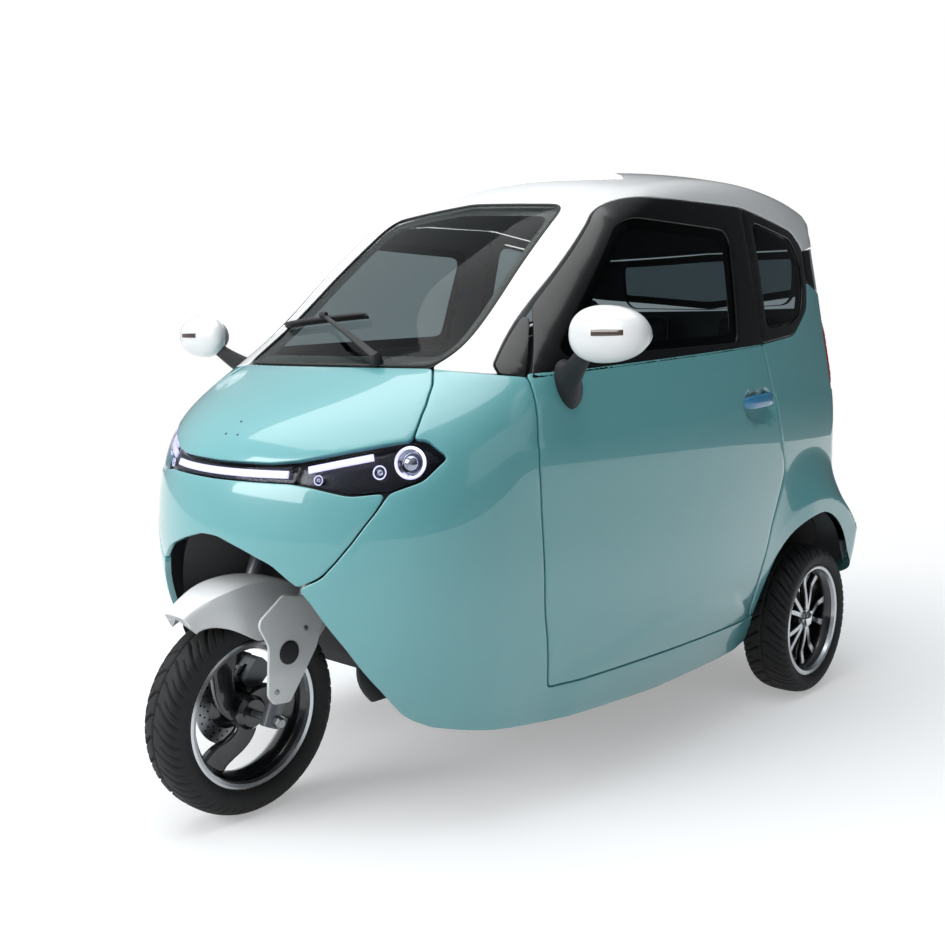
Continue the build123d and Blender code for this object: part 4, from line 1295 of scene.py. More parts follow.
@dataclass
class Glazing:
    """Windscreen, side and rear glass with their black borders, and the fixed black frames."""

    glass_t: float = 0.005

    def pane(self, name: str, chart: Chart, seam: np.ndarray, finish: str, nodes: Sequence[str],
             border: float, sink: float = 0.002, both: bool = False) -> None:
        """Glass sheet with a black printed border just behind it.

        Args:
            name: the piece's name.
            chart: the chart that it is cut on.
            seam: its outline on the body.
            finish: the glass finish.
            nodes: frame nodes that it replaces.
            border: width of the printed border in metres.
            sink: how far the glass lies under the body's surface.
            both: whether the same pane is on the right as well.
        """
        sheet = Panel(chart, seam, gap=0.0022, roll=0.0012, wall=self.glass_t, step=0.020, sink=sink).build()
        print_hole = shrink(chart, seam, border)
        ring = Panel(chart, seam, [print_hole], gap=0.0030, roll=0.0004, wall=0.0012, step=0.020,
                     sink=sink + self.glass_t + 0.0006).build()
        glass, frit = [STOCK[finish]] * 2, [STOCK["gloss_black"]] * 2
        if both:
            sheet.mirrored().finish(f"{name}_right", glass, "body", slot="tinted_glass")
            ring.mirrored().finish(f"{name}_border_right", frit, "body", slot="black_gloss")
            name = f"{name}_left"
        sheet.finish(name, glass, "body", nodes, "tinted_glass")
        ring.finish(f"{name}_border", frit, "body", slot="black_gloss")

    def windscreen(self) -> None:
        """Windscreen with its seal."""
        half = on(Chart.FRONT, [(0, 1396, 0), (296, 1374, 35), (337, 1018, 80), (312, 989, 14), (0, 989, 0)])
        loop = both_halves(half)
        self.pane("windscreen_glass", Chart.FRONT, loop, "screen_glass", ["windscreen"], 0.026)
        path = BODY.lift(Chart.FRONT, soften(resample(loop[:, [0, 2]], 0.008, True), 4))
        facing = BODY.normal(path)
        seal = Shape()
        seal.add(*sweep(path - facing * 0.0008, facing, rounded_box_profile(0.009, 0.004, 0.0018), closed=True))
        seal.finish("windscreen_seal", [STOCK["seal"]], "body", slot="black_plastic")

    def rear(self) -> None:
        """Dark rear glass that wraps round both corners."""
        top = on(Chart.SIDE, [(880, 1320, 0), (1000, 1342, 0)])
        low = on(Chart.SIDE, [(1000, 1205, 0), (882, 1232, 0)])
        tail_top = BODY.lift(Chart.REAR, np.array([[0.0, 1.351]]))[0]
        tail_low = BODY.lift(Chart.REAR, np.array([[0.0, 1.160]]))[0]
        left = np.concatenate([low, top, level_line(Chart.TAIL, top[-1], tail_top)[1:]])
        bottom = level_line(Chart.TAIL, tail_low, low[0])[:-1]
        loop = both_halves(np.concatenate([bottom, left]))
        self.pane("rear_window", Chart.TAIL, loop, "dark_glass", ["rear_glass"], 0.030)
        inner = [(0, 1343, 0), (326, 1333, 40), (318, 1177, 40), (0, 1167, 0)]
        hole = both_halves(on(Chart.REAR, inner))
        lining = Panel(Chart.TAIL, loop, [hole], gap=0.004, wall=0.016, step=0.018, sink=0.010)
        lining.build().finish("rear_window_lining", [STOCK["plastic"], STOCK["trim"]], "body", slot="black_plastic")

    def quarter(self) -> None:
        """Fixed side windows in their gloss black frames, with the small black corner ahead of each door."""
        window = on(Chart.SIDE, QUARTER_WINDOW, closed=True)
        outline = on(Chart.SIDE, QUARTER_TOP + QUARTER_LOW, closed=True)
        frame = Panel(Chart.SIDE, outline, [window], gap=0.0015, wall=0.022, step=0.018).build()
        self.pane("quarter_window", Chart.SIDE, window, "dark_glass", ["quarter_glass"], 0.014, sink=0.003, both=True)
        finishes = [STOCK["gloss_black"], STOCK["trim"]]
        pair(frame, "quarter_frame", finishes, "black_gloss", once=["quarter_frames"])
        corner = on(Chart.SIDE, [(-564, 971, 3), (-558, 991, 12), (-406, 1120, 4), (-520, 968, 3)], closed=True)
        wedge = Panel(Chart.SIDE, corner, gap=0.001, wall=0.020, step=0.012).build()
        pair(wedge, "pillar_corner", finishes, "black_gloss")

    def build(self) -> None:
        """Every fixed pane."""
        self.windscreen()
        self.rear()
        self.quarter()


def shrink(chart: Chart, seam: np.ndarray, amount: float) -> np.ndarray:
    """Line inside a seam at an even distance, kept even by easing, as points on the body."""
    uv = BODY.flatten(chart, resample(np.concatenate([seam, seam[:1]]), 0.006, True))
    uv = soften(uv, 6)
    along = np.roll(uv, -1, 0) - np.roll(uv, 1, 0)
    along /= np.maximum(np.linalg.norm(along, axis=1, keepdims=True), 1e-12)
    side = np.stack([-along[:, 1], along[:, 0]], -1)
    if np.mean(inside_outline(uv + side * 0.002, uv)) < 0.5:
        side = -side
    inner = uv + side * amount
    keep = outline_distance(inner, uv) > amount * 0.93
    inner = soften(resample(np.concatenate([inner[keep], inner[keep][:1]]), 0.006, True), 10)
    return BODY.lift(chart, inner)


@dataclass
class Doors:
    """Side doors: painted skin, gloss black window frame, glass, handle and mirror on each."""

    gap: float = 0.0030
    handle_y: float = 0.398
    handle_z: float = 0.878
    mirror: tuple[float, float, float] = (0.690, -0.508, 1.055)
    mirror_half: tuple[float, float, float] = (0.094, 0.036, 0.057)
    # Foot, bend and top of the mirror's stalk
    stalk: tuple[tuple[float, float, float], ...] = (
        (0.520, -0.420, 0.950),
        (0.560, -0.462, 0.962),
        (0.640, -0.506, 1.030),
    )

    def skins(self) -> None:
        """Painted lower skins with a recess behind the handle."""
        seam = on(
            Chart.SIDE,
            DOOR_FRONT[:-1] + [(-518, BELT_FRONT_Z, 3), (457, BELT_REAR_Z - 1, 3)] + DOOR_BACK,
            closed=True,
        )

        def door_press(p: np.ndarray) -> np.ndarray:
            """Side pressing with an oval bowl behind the handle: depth falls smoothly to its rim."""
            out = side_press(p)
            far = np.hypot((p[:, 1] - self.handle_y) / 0.106, (p[:, 2] - self.handle_z + 0.006) / 0.048)
            out[:, 0] -= np.sign(p[:, 0]) * 0.020 * (1 - step_up((far - 0.62) / 0.38))
            return out

        shape = Panel(Chart.SIDE, seam, gap=self.gap, step=0.013, press=door_press, wall=0.026).build()
        pair(shape, "door_skin", [STOCK["teal"], STOCK["trim"]], "teal_paint", "door", on_door=True)

    def frames(self) -> None:
        """Window frames and glass."""
        seam = on(
            Chart.SIDE,
            [(-518, BELT_FRONT_Z - 16, 3), (-408, 1117, 60), (-95, 1391, 240), (446, 1412, 20),
             (457, BELT_REAR_Z - 17, 3)],
            closed=True,
        )
        hole = on(Chart.SIDE, DOOR_WINDOW, closed=True)
        frame = Panel(Chart.SIDE, seam, [hole], gap=self.gap, step=0.018, wall=0.026).build()
        pane = Panel(Chart.SIDE, hole, gap=-0.006, roll=0.0012, wall=0.005, step=0.022, sink=0.006).build()
        inner = shrink(Chart.SIDE, hole, 0.016)
        border = Panel(Chart.SIDE, hole, [inner], gap=-0.004, roll=0.0004, wall=0.0012, step=0.02, sink=0.0116).build()
        black, glass = STOCK["gloss_black"], STOCK["dark_glass"]
        pair(frame, "door_window_frame", [black, STOCK["trim"]], "black_gloss", "door_frame", on_door=True)
        pair(pane, "door_window", [glass, glass], "tinted_glass", "door_glass", on_door=True)
        pair(border, "door_window_border", [black, black], "black_gloss", on_door=True)

    def handle_shape(self) -> Shape:
        """Pull handle: a flattened bar bowed out over its bowl, thicker at the middle."""
        shape = Shape()
        t = np.linspace(-1, 1, 41)
        y = self.handle_y + 0.092 * t
        z = self.handle_z + 0.010 + 0.005 * t
        base = BODY.lift(Chart.SIDE, np.stack([y, z], -1))
        bow = 0.014 * (1 - t**4) - 0.008
        path = base + np.array([1.0, 0, 0]) * bow[:, None]
        size = np.stack([np.sqrt(np.maximum(1 - t**6, 0.02)), np.sqrt(np.maximum(1 - t**8, 0.02))], -1)
        shape.add(*sweep(path, np.array([1.0, 0, 0]), rounded_box_profile(0.036, 0.012, 0.0055), size))
        return shape

    def mirror_shapes(self) -> tuple[Shape, Shape, Shape]:
        """Egg-shaped mirror housing with its glass and lamp slot, and the black foot with its stalk."""
        x, y, z = self.mirror
        ax, ay, az = self.mirror_half
        housing = Shape()
        verts, faces = oval((0, 0, 0), STRAIGHT, (ax, 1.0, az), 2.25, 40, 64)
        depth = np.where(verts[:, 1] < 0, ay, ay * 0.95)
        taper = 1 - 0.10 * (verts[:, 0] / ax)
        verts = np.stack([verts[:, 0], verts[:, 1] * depth, verts[:, 2] * taper], -1)
        verts[:, 1] = np.minimum(verts[:, 1], ay * 0.78)
        housing.add(verts + np.array([x, y, z]), faces, 0)
        turn = np.linspace(0, 2 * math.pi, 64, endpoint=False)
        rim = np.stack([(ax - 0.012) * np.cos(turn), np.full(64, ay * 0.80), (az - 0.010) * np.sin(turn)], -1)
        rings = np.stack([rim, rim + [0, 0.0015, 0], rim * [0.985, 1, 0.985] + [0, 0.0022, 0]])
        glass_verts, glass_faces = tube_shape(rings + np.array([x, y, z]))
        housing.add(glass_verts, outward(glass_verts, glass_faces), 1)
        slot = Shape()
        t = np.linspace(-1, 1, 21)
        px = x + 0.018 + 0.036 * t
        inside = np.maximum(1 - ((px - x) / ax) ** 2, 0)
        front = y - ay * np.sqrt(inside) + 0.0005
        path = np.stack([px, front, np.full_like(px, z + 0.002)], -1)
        slot.add(*sweep(path, np.array([0, -1.0, 0]), rounded_box_profile(0.0125, 0.004, 0.0018)))
        foot = Shape()
        t = np.linspace(0, 1, 25)[:, None]
        start, bend, end = (np.array(q) for q in self.stalk)
        path = (1 - t) ** 2 * start + 2 * t * (1 - t) * bend + t**2 * end
        size = np.interp(t[:, 0], [0, 0.10, 0.45, 1], [2.1, 1.9, 1.05, 0.62])
        foot.add(*sweep(path, np.array([0, 1.0, 0]), circle(0.027, 24, 0.62), size))
        return housing, slot, foot

    def fittings(self) -> None:
        """Handles and mirrors."""
        handle = self.handle_shape()
        housing, slot, foot = self.mirror_shapes()
        pair(handle, "door_pull", [STOCK["handle_blue"]], "black_plastic", "door_handle", on_door=True)
        finishes = [STOCK["white_plastic"], STOCK["silver_glass"]]
        pair(housing, "mirror_housing", finishes, "white_plastic", "mirror", on_door=True)
        pair(slot, "mirror_lamp", [STOCK["amber_lens"]], "black_plastic", on_door=True)
        pair(foot, "mirror_foot", [STOCK["plastic"]], "black_plastic", on_door=True)

    def build(self) -> None:
        """Both doors."""
        self.skins()
        self.frames()
        self.fittings()


@dataclass
class Lamps:
    """Front light bar, headlamps and tail lamps."""

    well: float = 0.020
    # Round lamps of each headlamp. Columns: x, z, radius
    optics: tuple[tuple[float, float, float], ...] = (
        (0.417, 0.805, 0.032),
        (0.262, 0.766, 0.010),
        (0.372, 0.785, 0.014),
    )

    def strip(self, shape: Shape, line: np.ndarray, width: float, sink: float) -> None:
        """Light guide: a rounded bar carried along a line under the lamp's cover."""
        facing = BODY.normal(line)
        shape.add(*sweep(line - facing * sink, facing, rounded_box_profile(width, 0.006, 0.0025, 3)))

    def light_bar(self) -> None:
        """Black band across the nose with its full-width light guide."""
        half = on(Chart.FRONT, [(0, 787, 0), (150, 789, 60), (212, 797, 5), (212, 754, 5), (0, 752, 0)])
        loop = both_halves(half)
        finishes = [STOCK["lamp_well"], STOCK["plastic"]]
        Panel(Chart.FRONT, loop, gap=0.002, roll=0.002, wall=0.010, step=0.012, rim_step=0.006,
              sink=self.well).build().finish("light_bar_well", finishes, "body", ["light_bar"], "black_gloss")
        Panel(Chart.FRONT, loop, gap=0.0015, roll=0.002, wall=0.003, step=0.012, rim_step=0.006,
              sink=0.001).build().finish("light_bar_cover", [STOCK["lamp_glass"]] * 2, "body", slot="tinted_glass")
        t = np.linspace(-1, 1, 81)
        # Columns: name, half width, height, rise at the ends, its own width, depth under the skin, finish, slot
        for name, half_w, z, rise, width, sink, finish, slot in (
            ("light_bar_guide", 0.194, 0.7690, 0.003, 0.016, 0.0085, "led", "white_plastic"),
            ("light_bar_brow", 0.200, 0.776, 0.010, 0.008, 0.010, "plastic", "black_plastic"),
        ):
            shape = Shape()
            self.strip(shape, BODY.lift(Chart.FRONT, np.stack([half_w * t, z + rise * t**2], -1)), width, sink)
            shape.finish(name, [STOCK[finish]], "body", slot=slot)

    def headlamp(self) -> None:
        """Headlamps: dark housing, slanted light guide, small lamp, projector whose outer ring glows as a painted
        highlight, clear cover.
        """
        outline = [(214, 797, 5), (307, 819, 90), (387, 838, 40), (425, 842, 18), (463, 811, 7), (441, 768, 26),
                   (395, 744, 40), (330, 735, 80), (252, 749, 60), (214, 754, 5)]
        seam = on(Chart.FRONT, outline, closed=True)
        well = Panel(Chart.FRONT, seam, gap=0.002, roll=0.002, wall=0.010, step=0.010, rim_step=0.006, sink=0.024)
        cover = Panel(Chart.FRONT, seam, gap=0.0015, roll=0.002, wall=0.003, step=0.010, rim_step=0.006, sink=0.001)
        wells, covers = well.build(), cover.build()
        guides, optics = Shape(), Shape()
        t = np.linspace(0, 1, 31)[:, None]
        line = np.array([0.237, 0.783]) * (1 - t) + np.array([0.352, 0.812]) * t
        self.strip(guides, BODY.lift(Chart.FRONT, line), 0.015, 0.008)
        for x, z, radius in self.optics:
            spot = BODY.lift(Chart.FRONT, np.array([[x, z]]))
            facing = BODY.normal(spot)[0]
            look = facing * 0.45 + np.array([0.25, -1.0, 0.0]) * 0.55
            look /= np.linalg.norm(look)
            side = np.cross(look, [0, 0, 1.0])
            side /= np.linalg.norm(side)
            axes = np.stack([side, np.cross(side, look), look])
            centre = spot[0] - facing * 0.021
            self.optic(optics, centre, axes, radius)
        finishes = [STOCK["lamp_well"], STOCK["plastic"]]
        optic_finishes = [STOCK["reflector"], STOCK["lamp_well"], STOCK["led"], STOCK["chrome"]]
        pair(wells, "headlamp_well", finishes, "black_gloss", once=["headlamps"])
        pair(covers, "headlamp_cover", [STOCK["lamp_glass"]] * 2, "tinted_glass")
        pair(guides, "headlamp_guide", [STOCK["led"]], "white_plastic")
        pair(optics, "headlamp_optics", optic_finishes, "motor_metal")

    def optic(self, shape: Shape, centre: np.ndarray, axes: np.ndarray, radius: float) -> None:
        """Round lamp: an outer ring that glows as a painted highlight of bright chrome, a reflector bowl and a domed
        lens, all turned about one axis.
        """
        count = 40
        turn = np.linspace(0, 2 * math.pi, count, endpoint=False)

        def ringed(profile: np.ndarray, mark: int) -> None:
            """Add a profile of (height, radius) turned round the lamp's axis."""
            local = np.stack(
                [
                    profile[None, :, 1] * np.cos(turn)[:, None],
                    profile[None, :, 1] * np.sin(turn)[:, None],
                    np.broadcast_to(profile[None, :, 0], (count, len(profile))),
                ],
                -1,
            )
            verts = (local @ axes).reshape(-1, 3) + centre
            faces = [grid_quads(count, len(profile), wrap_rows=True, wrap_columns=True)]
            shape.add(verts, outward(verts, faces), mark)

        # Mark 2 is the glowing light guide finish: the ring's glow is a painted highlight in place of a bright chrome
        # ring
        ring = circle(radius * 0.10, 10) + np.array([0.010, radius * 0.95])
        ringed(ring, 2)
        bowl = np.array([(0.009, 0.86), (0.003, 0.66), (-0.001, 0.40), (-0.003, 0.40), (0.001, 0.70), (0.007, 0.90)])
        ringed(bowl * np.array([1, radius]), 0)
        verts, faces = oval(centre + axes[2] * 0.004, axes, (radius * 0.52, radius * 0.52, 0.009), 2.0, 14, 28)
        shape.add(verts, faces, 3)

    def tail_lamp(self) -> None:
        """Tail lamps round the rear corners: red lens with ribs over a dark housing."""
        side_top = BODY.lift(Chart.SIDE, np.array([[1.000, 1.120]]))[0]
        side_low = BODY.lift(Chart.SIDE, np.array([[1.000, 0.900]]))[0]
        in_top = BODY.lift(Chart.REAR, np.array([[0.400, 1.120]]))[0]
        in_low = BODY.lift(Chart.REAR, np.array([[0.400, 0.900]]))[0]
        loop = chain(
            level_line(Chart.TAIL, side_low, side_top),
            level_line(Chart.TAIL, side_top, in_top)[1:],
            level_line(Chart.TAIL, in_top, in_low)[1:],
            level_line(Chart.TAIL, in_low, side_low)[1:-1],
        )

        def bulge(p: np.ndarray) -> np.ndarray:
            """Lens domed outwards by 4 mm, with fine level ribs 0.6 mm high."""
            n = BODY.normal(p)
            mid = step_up((0.108 - np.abs(p[:, 2] - 1.010)) / 0.05)
            rib = 0.0006 * np.cos(p[:, 2] * 2 * math.pi / 0.012)
            return p + n * (0.004 * mid + rib)[:, None]

        lens = Panel(Chart.TAIL, loop, gap=0.002, roll=0.004, wall=0.018, step=0.004, press=bulge, eased=8).build()
        pair(lens, "tail_lamp", [STOCK["red_lens"], STOCK["lamp_well"]], "red_lens", once=["tail_lamps"])

    def build(self) -> None:
        """Every lamp."""
        self.light_bar()
        self.headlamp()
        self.tail_lamp()


# Tyres in metres. Columns: radius, width, height of the widest place over the rim
FRONT_TYRE = (0.228, 0.110, 0.022)
REAR_TYRE = (0.222, 0.135, 0.026)


@dataclass
class Wheel:
    """One road wheel: grooved tyre, barrel and spokes, turned about an axle along x."""

    name: str
    body: str
    centre: tuple[float, float, float]
    radius: float
    width: float
    shoulder: float
    nodes: tuple[str, str]
    out: int = 1
    steps: int = 720
    lugs: int = 30
    groove: float = 0.0062

    def tyre(self) -> None:
        """Tyre: its section is a bead, a bulged wall and a crowned tread, with slanted grooves sunk into the tread.

        A groove's depth falls off across its width, and each slants back from the middle
        to the shoulder; shallower cuts lie between.
        """
        half = self.width / 2
        bead = half - 0.014
        wall = np.array([
            (-bead, RIM_R + 0.0015), (-bead - 0.006, RIM_R + 0.004), (-half * 0.97, RIM_R + self.shoulder * 0.62),
            (-half, RIM_R + self.shoulder),
        ])
        t = np.linspace(-1, 1, 45)[1:-1]
        drop = (self.radius - RIM_R - self.shoulder) * np.abs(t) ** 3.0 * 0.62
        crown = np.stack([half * np.sin(t * math.pi / 2 * 0.97) / math.sin(math.pi / 2 * 0.97),
                          self.radius - drop - 0.010 * np.abs(t) ** 2], -1)
        inner = np.array([(bead - 0.004, RIM_R - 0.003), (-bead + 0.004, RIM_R - 0.003)])
        profile = np.concatenate([wall, crown, (wall * [-1, 1])[::-1], inner])
        angle = np.linspace(0, 2 * math.pi, self.steps, endpoint=False)[:, None]
        x, r = profile[None, :, 0], profile[None, :, 1]
        across = np.abs(x) / half
        tread = step_up((r - (self.radius - 0.030)) / 0.008)
        lean = angle * self.radius - 0.050 * across**1.3 + np.where(x > 0, 0.0, 0.024)
        pitch = 2 * math.pi * self.radius / self.lugs
        phase = (lean / pitch) % 1.0
        cut = np.exp(-(((phase - 0.5) * pitch / 0.0034) ** 4)) * step_up((across - 0.10) / 0.06)
        between = (phase + 0.5) % 1.0 - 0.5
        fine = np.exp(-((between * pitch / 0.0022) ** 4)) * step_up((across - 0.42) / 0.08) * 0.7
        line = np.exp(-((x / 0.0030) ** 4)) * np.ones_like(angle)
        r2 = r - self.groove * tread * np.maximum(np.maximum(cut, fine), line * 0.8)
        ridge = 0.0008 * np.exp(-(((r - RIM_R - 0.020) / 0.0016) ** 2))
        wide = x + np.sign(x) * ridge
        verts = np.stack([np.broadcast_to(wide, r2.shape), r2 * np.cos(angle), r2 * np.sin(angle)], -1)
        verts = verts.reshape(-1, 3) + np.array(self.centre)
        faces = [grid_quads(self.steps, len(profile), wrap_rows=True, wrap_columns=True)]
        shape = Shape()
        shape.add(verts, outward(verts, faces))
        shape.finish(f"{self.name}_tyre_tread", [STOCK["rubber"]], self.body, [self.nodes[0]], "tyre", sharp=60)

    def barrel(self, shape: Shape, lip_mark: int) -> None:
        """Rim barrel: a drop-centre channel with a rounded lip on each side."""
        half = self.width / 2 - 0.010
        outer = np.array([
            (half, RIM_R + 0.001), (half + 0.002, RIM_R - 0.004), (half - 0.001, RIM_R - 0.010),
            (half - 0.010, RIM_R - 0.014), (half - 0.016, RIM_R - 0.022),
        ])
        floor = np.array([(half - 0.030, RIM_R - 0.026), (0, RIM_R - 0.030), (-half + 0.030, RIM_R - 0.026)])
        inner = (outer * [-1, 1])[::-1]
        back = np.array([(-half + 0.016, RIM_R - 0.004), (half - 0.016, RIM_R - 0.004)])
        profile = np.concatenate([outer, floor, inner, back])
        verts, faces = revolve(profile, self.centre, 128)
        shape.add(verts, faces, 1)
        lip = np.array([
            (half + 0.0005, RIM_R + 0.001), (half + 0.0030, RIM_R - 0.004), (half + 0.0005, RIM_R - 0.0115),
            (half - 0.009, RIM_R - 0.0150), (half - 0.009, RIM_R - 0.012), (half - 0.004, RIM_R - 0.004),
        ])
        lip = lip * [self.out, 1]
        verts, faces = revolve(lip, self.centre, 128)
        shape.add(verts, faces, lip_mark)

    def spoke(self, shape: Shape, angle: float, curve: float, widths: tuple[float, float, float],
              thick: float, plane_x: float, face_mark: int) -> None:
        """Cast spoke from hub to rim: a rounded bar whose middle line bends sideways with radius.

        Args:
            shape: the wheel's shape.
            angle: place of its foot in degrees.
            curve: how far its tip turns from its foot, in degrees.
            widths: width at the hub, middle and rim.
            thick: thickness along the axle.
            plane_x: place of its outer face along the axle from the wheel's middle.
            face_mark: finish of a thin bright face, or 1 for none.
        """
        t = np.linspace(0, 1, 25)
        r = 0.026 + (RIM_R - 0.016 - 0.026) * t
        turn = np.radians(angle + curve * np.sin(t * math.pi * 0.55) ** 1.2)
        dish = plane_x - 0.014 * step_up(t) + 0.010 * step_up((t - 0.6) / 0.4)
        path = np.stack([dish * self.out, r * np.cos(turn), r * np.sin(turn)], -1) + np.array(self.centre)
        width = np.interp(t, [0, 0.5, 1], widths)
        size = np.stack([width, np.full_like(width, thick)], -1)
        profile = rounded_box_profile(1.0, 1.0, 0.18, 3)
        shape.add(*sweep(path - np.array([self.out * thick / 2, 0, 0]), np.array([1.0, 0, 0]), profile, size), 1)
        if face_mark != 1:
            thin = np.stack([width * 0.80, np.full_like(width, 0.0016)], -1)
            shape.add(*sweep(path + np.array([self.out * 0.0004, 0, 0]), np.array([1.0, 0, 0]), profile, thin),
                      face_mark)

    def hub(self, shape: Shape, profile: Sequence[tuple[float, float]], mark: int) -> None:
        """Hub part turned from a profile of (place along the axle, radius)."""
        points = np.array(profile) * [self.out, 1]
        shape.add(*revolve(points, self.centre, 48), mark)

    def bolts(self, shape: Shape, count: int, ring: float, place: float, size: float, mark: int) -> None:
        """Hexagon nuts on a ring round the hub."""
        for k in range(count):
            turn = 2 * math.pi * (k + 0.5) / count
            foot = np.array(self.centre) + np.array([self.out * place, ring * math.cos(turn), ring * math.sin(turn)])
            ends = np.array([foot, foot + [self.out * 0.005, 0, 0], foot + [self.out * 0.0075, 0, 0]])
            shape.add(*sweep(ends, np.array([0, 0, 1.0]), circle(size, 6), np.array([1.0, 1.0, 0.72])), mark)

    def rear(self) -> None:
        """Rear wheel: five pairs of narrow bright-faced spokes on a black casting, with a chrome centre."""
        self.tyre()
        shape = Shape()
        self.barrel(shape, 0)
        face = self.width / 2 - 0.034
        for step in range(5):
            for side in (-1, 1):
                self.spoke(shape, step * 72 + side * 9, side * 6, (0.017, 0.016, 0.024), 0.016, face, 0)
        self.hub(shape, [(face - 0.050, 0.001), (face - 0.050, 0.034), (face - 0.004, 0.036), (face, 0.032),
                         (face, 0.001)], 1)
        self.hub(shape, [(face, 0.001), (face, 0.021), (face + 0.012, 0.020), (face + 0.017, 0.013),
                         (face + 0.018, 0.001)], 2)
        self.bolts(shape, 5, 0.0275, face, 0.0055, 2)
        self.hub(shape, [(-0.060, 0.001), (-0.060, 0.085), (-0.020, 0.092), (-0.018, 0.001)], 3)
        shape.finish(f"{self.name}_wheel", [STOCK["machined"], STOCK["black_alloy"], STOCK["chrome"],
                                            STOCK["frame_black"]], self.body, [self.nodes[1]], "black_alloy")

    def front(self) -> None:
        """Front wheel: three broad curved spokes, drilled brake disc on the right."""
        self.tyre()
        shape = Shape()
        self.barrel(shape, 0)
        for step in range(3):
            self.spoke(shape, step * 120 + 40, -48, (0.052, 0.050, 0.074), 0.020, 0.014, 1)
        self.hub(shape, [(-0.040, 0.0095), (-0.040, 0.036), (0.030, 0.038), (0.040, 0.030), (0.040, 0.0095)], 1)
        disc = np.array([(-0.0515, 0.050), (-0.0515, 0.089), (-0.0475, 0.089), (-0.0475, 0.050)])
        shape.add(*revolve(disc, self.centre, 96), 3)
        self.hub(shape, [(-0.048, 0.0095), (-0.048, 0.054), (-0.040, 0.040), (-0.038, 0.0095)], 1)
        # The disc's drilled holes are plugs in the black seal finish that fill them: painted shade in place of open
        # holes
        holes = Shape()
        for ring, count, shift in ((0.060, 18, 0.0), (0.070, 18, 0.5), (0.080, 24, 0.2)):
            for k in range(count):
                turn = 2 * math.pi * (k + shift) / count
                foot = np.array(self.centre) + np.array([-0.0520, ring * math.cos(turn), ring * math.sin(turn)])
                holes.add(*sweep(np.array([foot, foot + [0.0050, 0, 0]]), np.array([0, 0, 1.0]), circle(0.0026, 10)))
        holes.finish("brake_disc_hole_shade", [STOCK["seal"]], self.body, slot="black_plastic")
        shape.finish("front_wheel_casting", [STOCK["machined"], STOCK["black_alloy"], STOCK["chrome"], STOCK["disc"]],
                     self.body, [self.nodes[1]], "black_alloy")


@dataclass
class FrontEnd:
    """Mudguard, its side plates and the fittings on the fork."""

    axle: tuple[float, float, float] = FRONT_AXLE
    crown_r: float = 0.300
    half_w: float = 0.078
    wall: float = 0.0035
    plate_x: float = 0.1195
    cap_at: tuple[float, float] = (-0.868, 0.375)
    screws: tuple[tuple[float, float], ...] = ((-0.822, 0.420), (-0.902, 0.295))
    screw_r: float = 0.0065

    def mudguard(self) -> None:
        """White mudguard: a rounded channel turned through an arc, deepest at the legs and tapering to its tip."""
        turn = np.radians(np.linspace(125, 42, 64))
        share = np.linspace(0, 1, 64)
        depth = 0.034 + 0.082 * step_up(share / 0.42) * (1 - 0.60 * step_up((share - 0.50) / 0.30))
        width = self.half_w * (0.62 + 0.38 * step_up(share / 0.30)) * (1 - 0.08 * step_up((share - 0.7) / 0.3))
        s = np.linspace(-1, 1, 33)
        bend = np.abs(s)
        x = np.sin(np.clip(s * 1.35, -math.pi / 2, math.pi / 2))
        fall = np.where(bend > 0.62, (bend - 0.62) / 0.38, 0.0)
        rise = 1 - np.cos(np.clip(s * 1.2, -1.35, 1.35))
        skins = []
        for shift in (0.0, self.wall):
            across = x[None] * (width[:, None] - shift)
            high = self.crown_r - shift - 0.016 * rise[None] - depth[:, None] * fall[None] ** 1.15
            y = self.axle[1] + high * np.cos(turn)[:, None]
            z = self.axle[2] + high * np.sin(turn)[:, None]
            skins.append(np.stack([across, y, z], -1))
        outer, inner = skins
        verts, faces = tube_shape(np.concatenate([outer, inner[:, ::-1]], axis=1))
        shape = Shape()
        shape.add(verts, outward(verts, faces))
        shape.finish("mudguard_skin", [STOCK["white_plastic"]], "steering", ["front_mudguard"], "white_plastic",
                     sharp=50)

    def plate_outline(self) -> np.ndarray:
        """Side plate from the mudguard down each leg to the axle, in (y, z) millimetres."""
        return rounded_path(
            [(-880, 503, 20), (-800, 488, 20), (-766, 442, 18), (-790, 372, 50), (-836, 306, 50), (-866, 264, 10),
             (-908, 268, 12), (-925, 288, 20), (-921, 398, 40), (-950, 452, 20)],
            0.004, True,
        )

    def plates(self) -> None:
        """White side plates with a round black cap, screws and the axle nut."""
        outline = self.plate_outline()
        for side in (1, -1):
            x0 = side * self.plate_x
            rings = []
            for depth, inset in ((0.0, 0.0), (0.0035, 0.0), (0.0050, 0.0015)):
                ring = outline if not inset else outline + (outline.mean(0) - outline) * inset / 0.08
                rings.append(np.column_stack([np.full(len(ring), x0 + side * depth), ring]))
            verts, faces = tube_shape(np.stack(rings))
            shape = Shape()
            shape.add(verts, outward(verts, faces), 0)
            cap = np.array([(0.0050, 0.001), (0.0085, 0.001), (0.0085, 0.0235), (0.0070, 0.0260), (0.0050, 0.0260)])
            shape.add(*revolve(cap * [side, 1], (x0, *self.cap_at), 40), 1)
            r = self.screw_r
            head = np.array([(0.004, 0.0008), (0.0085, 0.0008), (0.0080, r * 0.8), (0.0050, r)])
            for y, z in self.screws:
                shape.add(*revolve(head * [side, 1], (x0, y, z), 16), 2)
            nut = np.array([(0.0, 0.0010), (0.016, 0.0010), (0.016, 0.0095), (0.010, 0.0135), (0.0, 0.0135)])
            shape.add(*revolve(nut * [side, 1], (x0 + side * 0.002, self.axle[1], self.axle[2]), 6), 2)
            name = "left" if side == 1 else "right"
            shape.finish(f"fork_cover_{name}", [STOCK["white_plastic"], STOCK["plastic"], STOCK["bolt"]], "steering",
                         slot="white_plastic", bevel=0.0006)

    def build(self) -> None:
        """Mudguard and plates."""
        self.mudguard()
        self.plates()


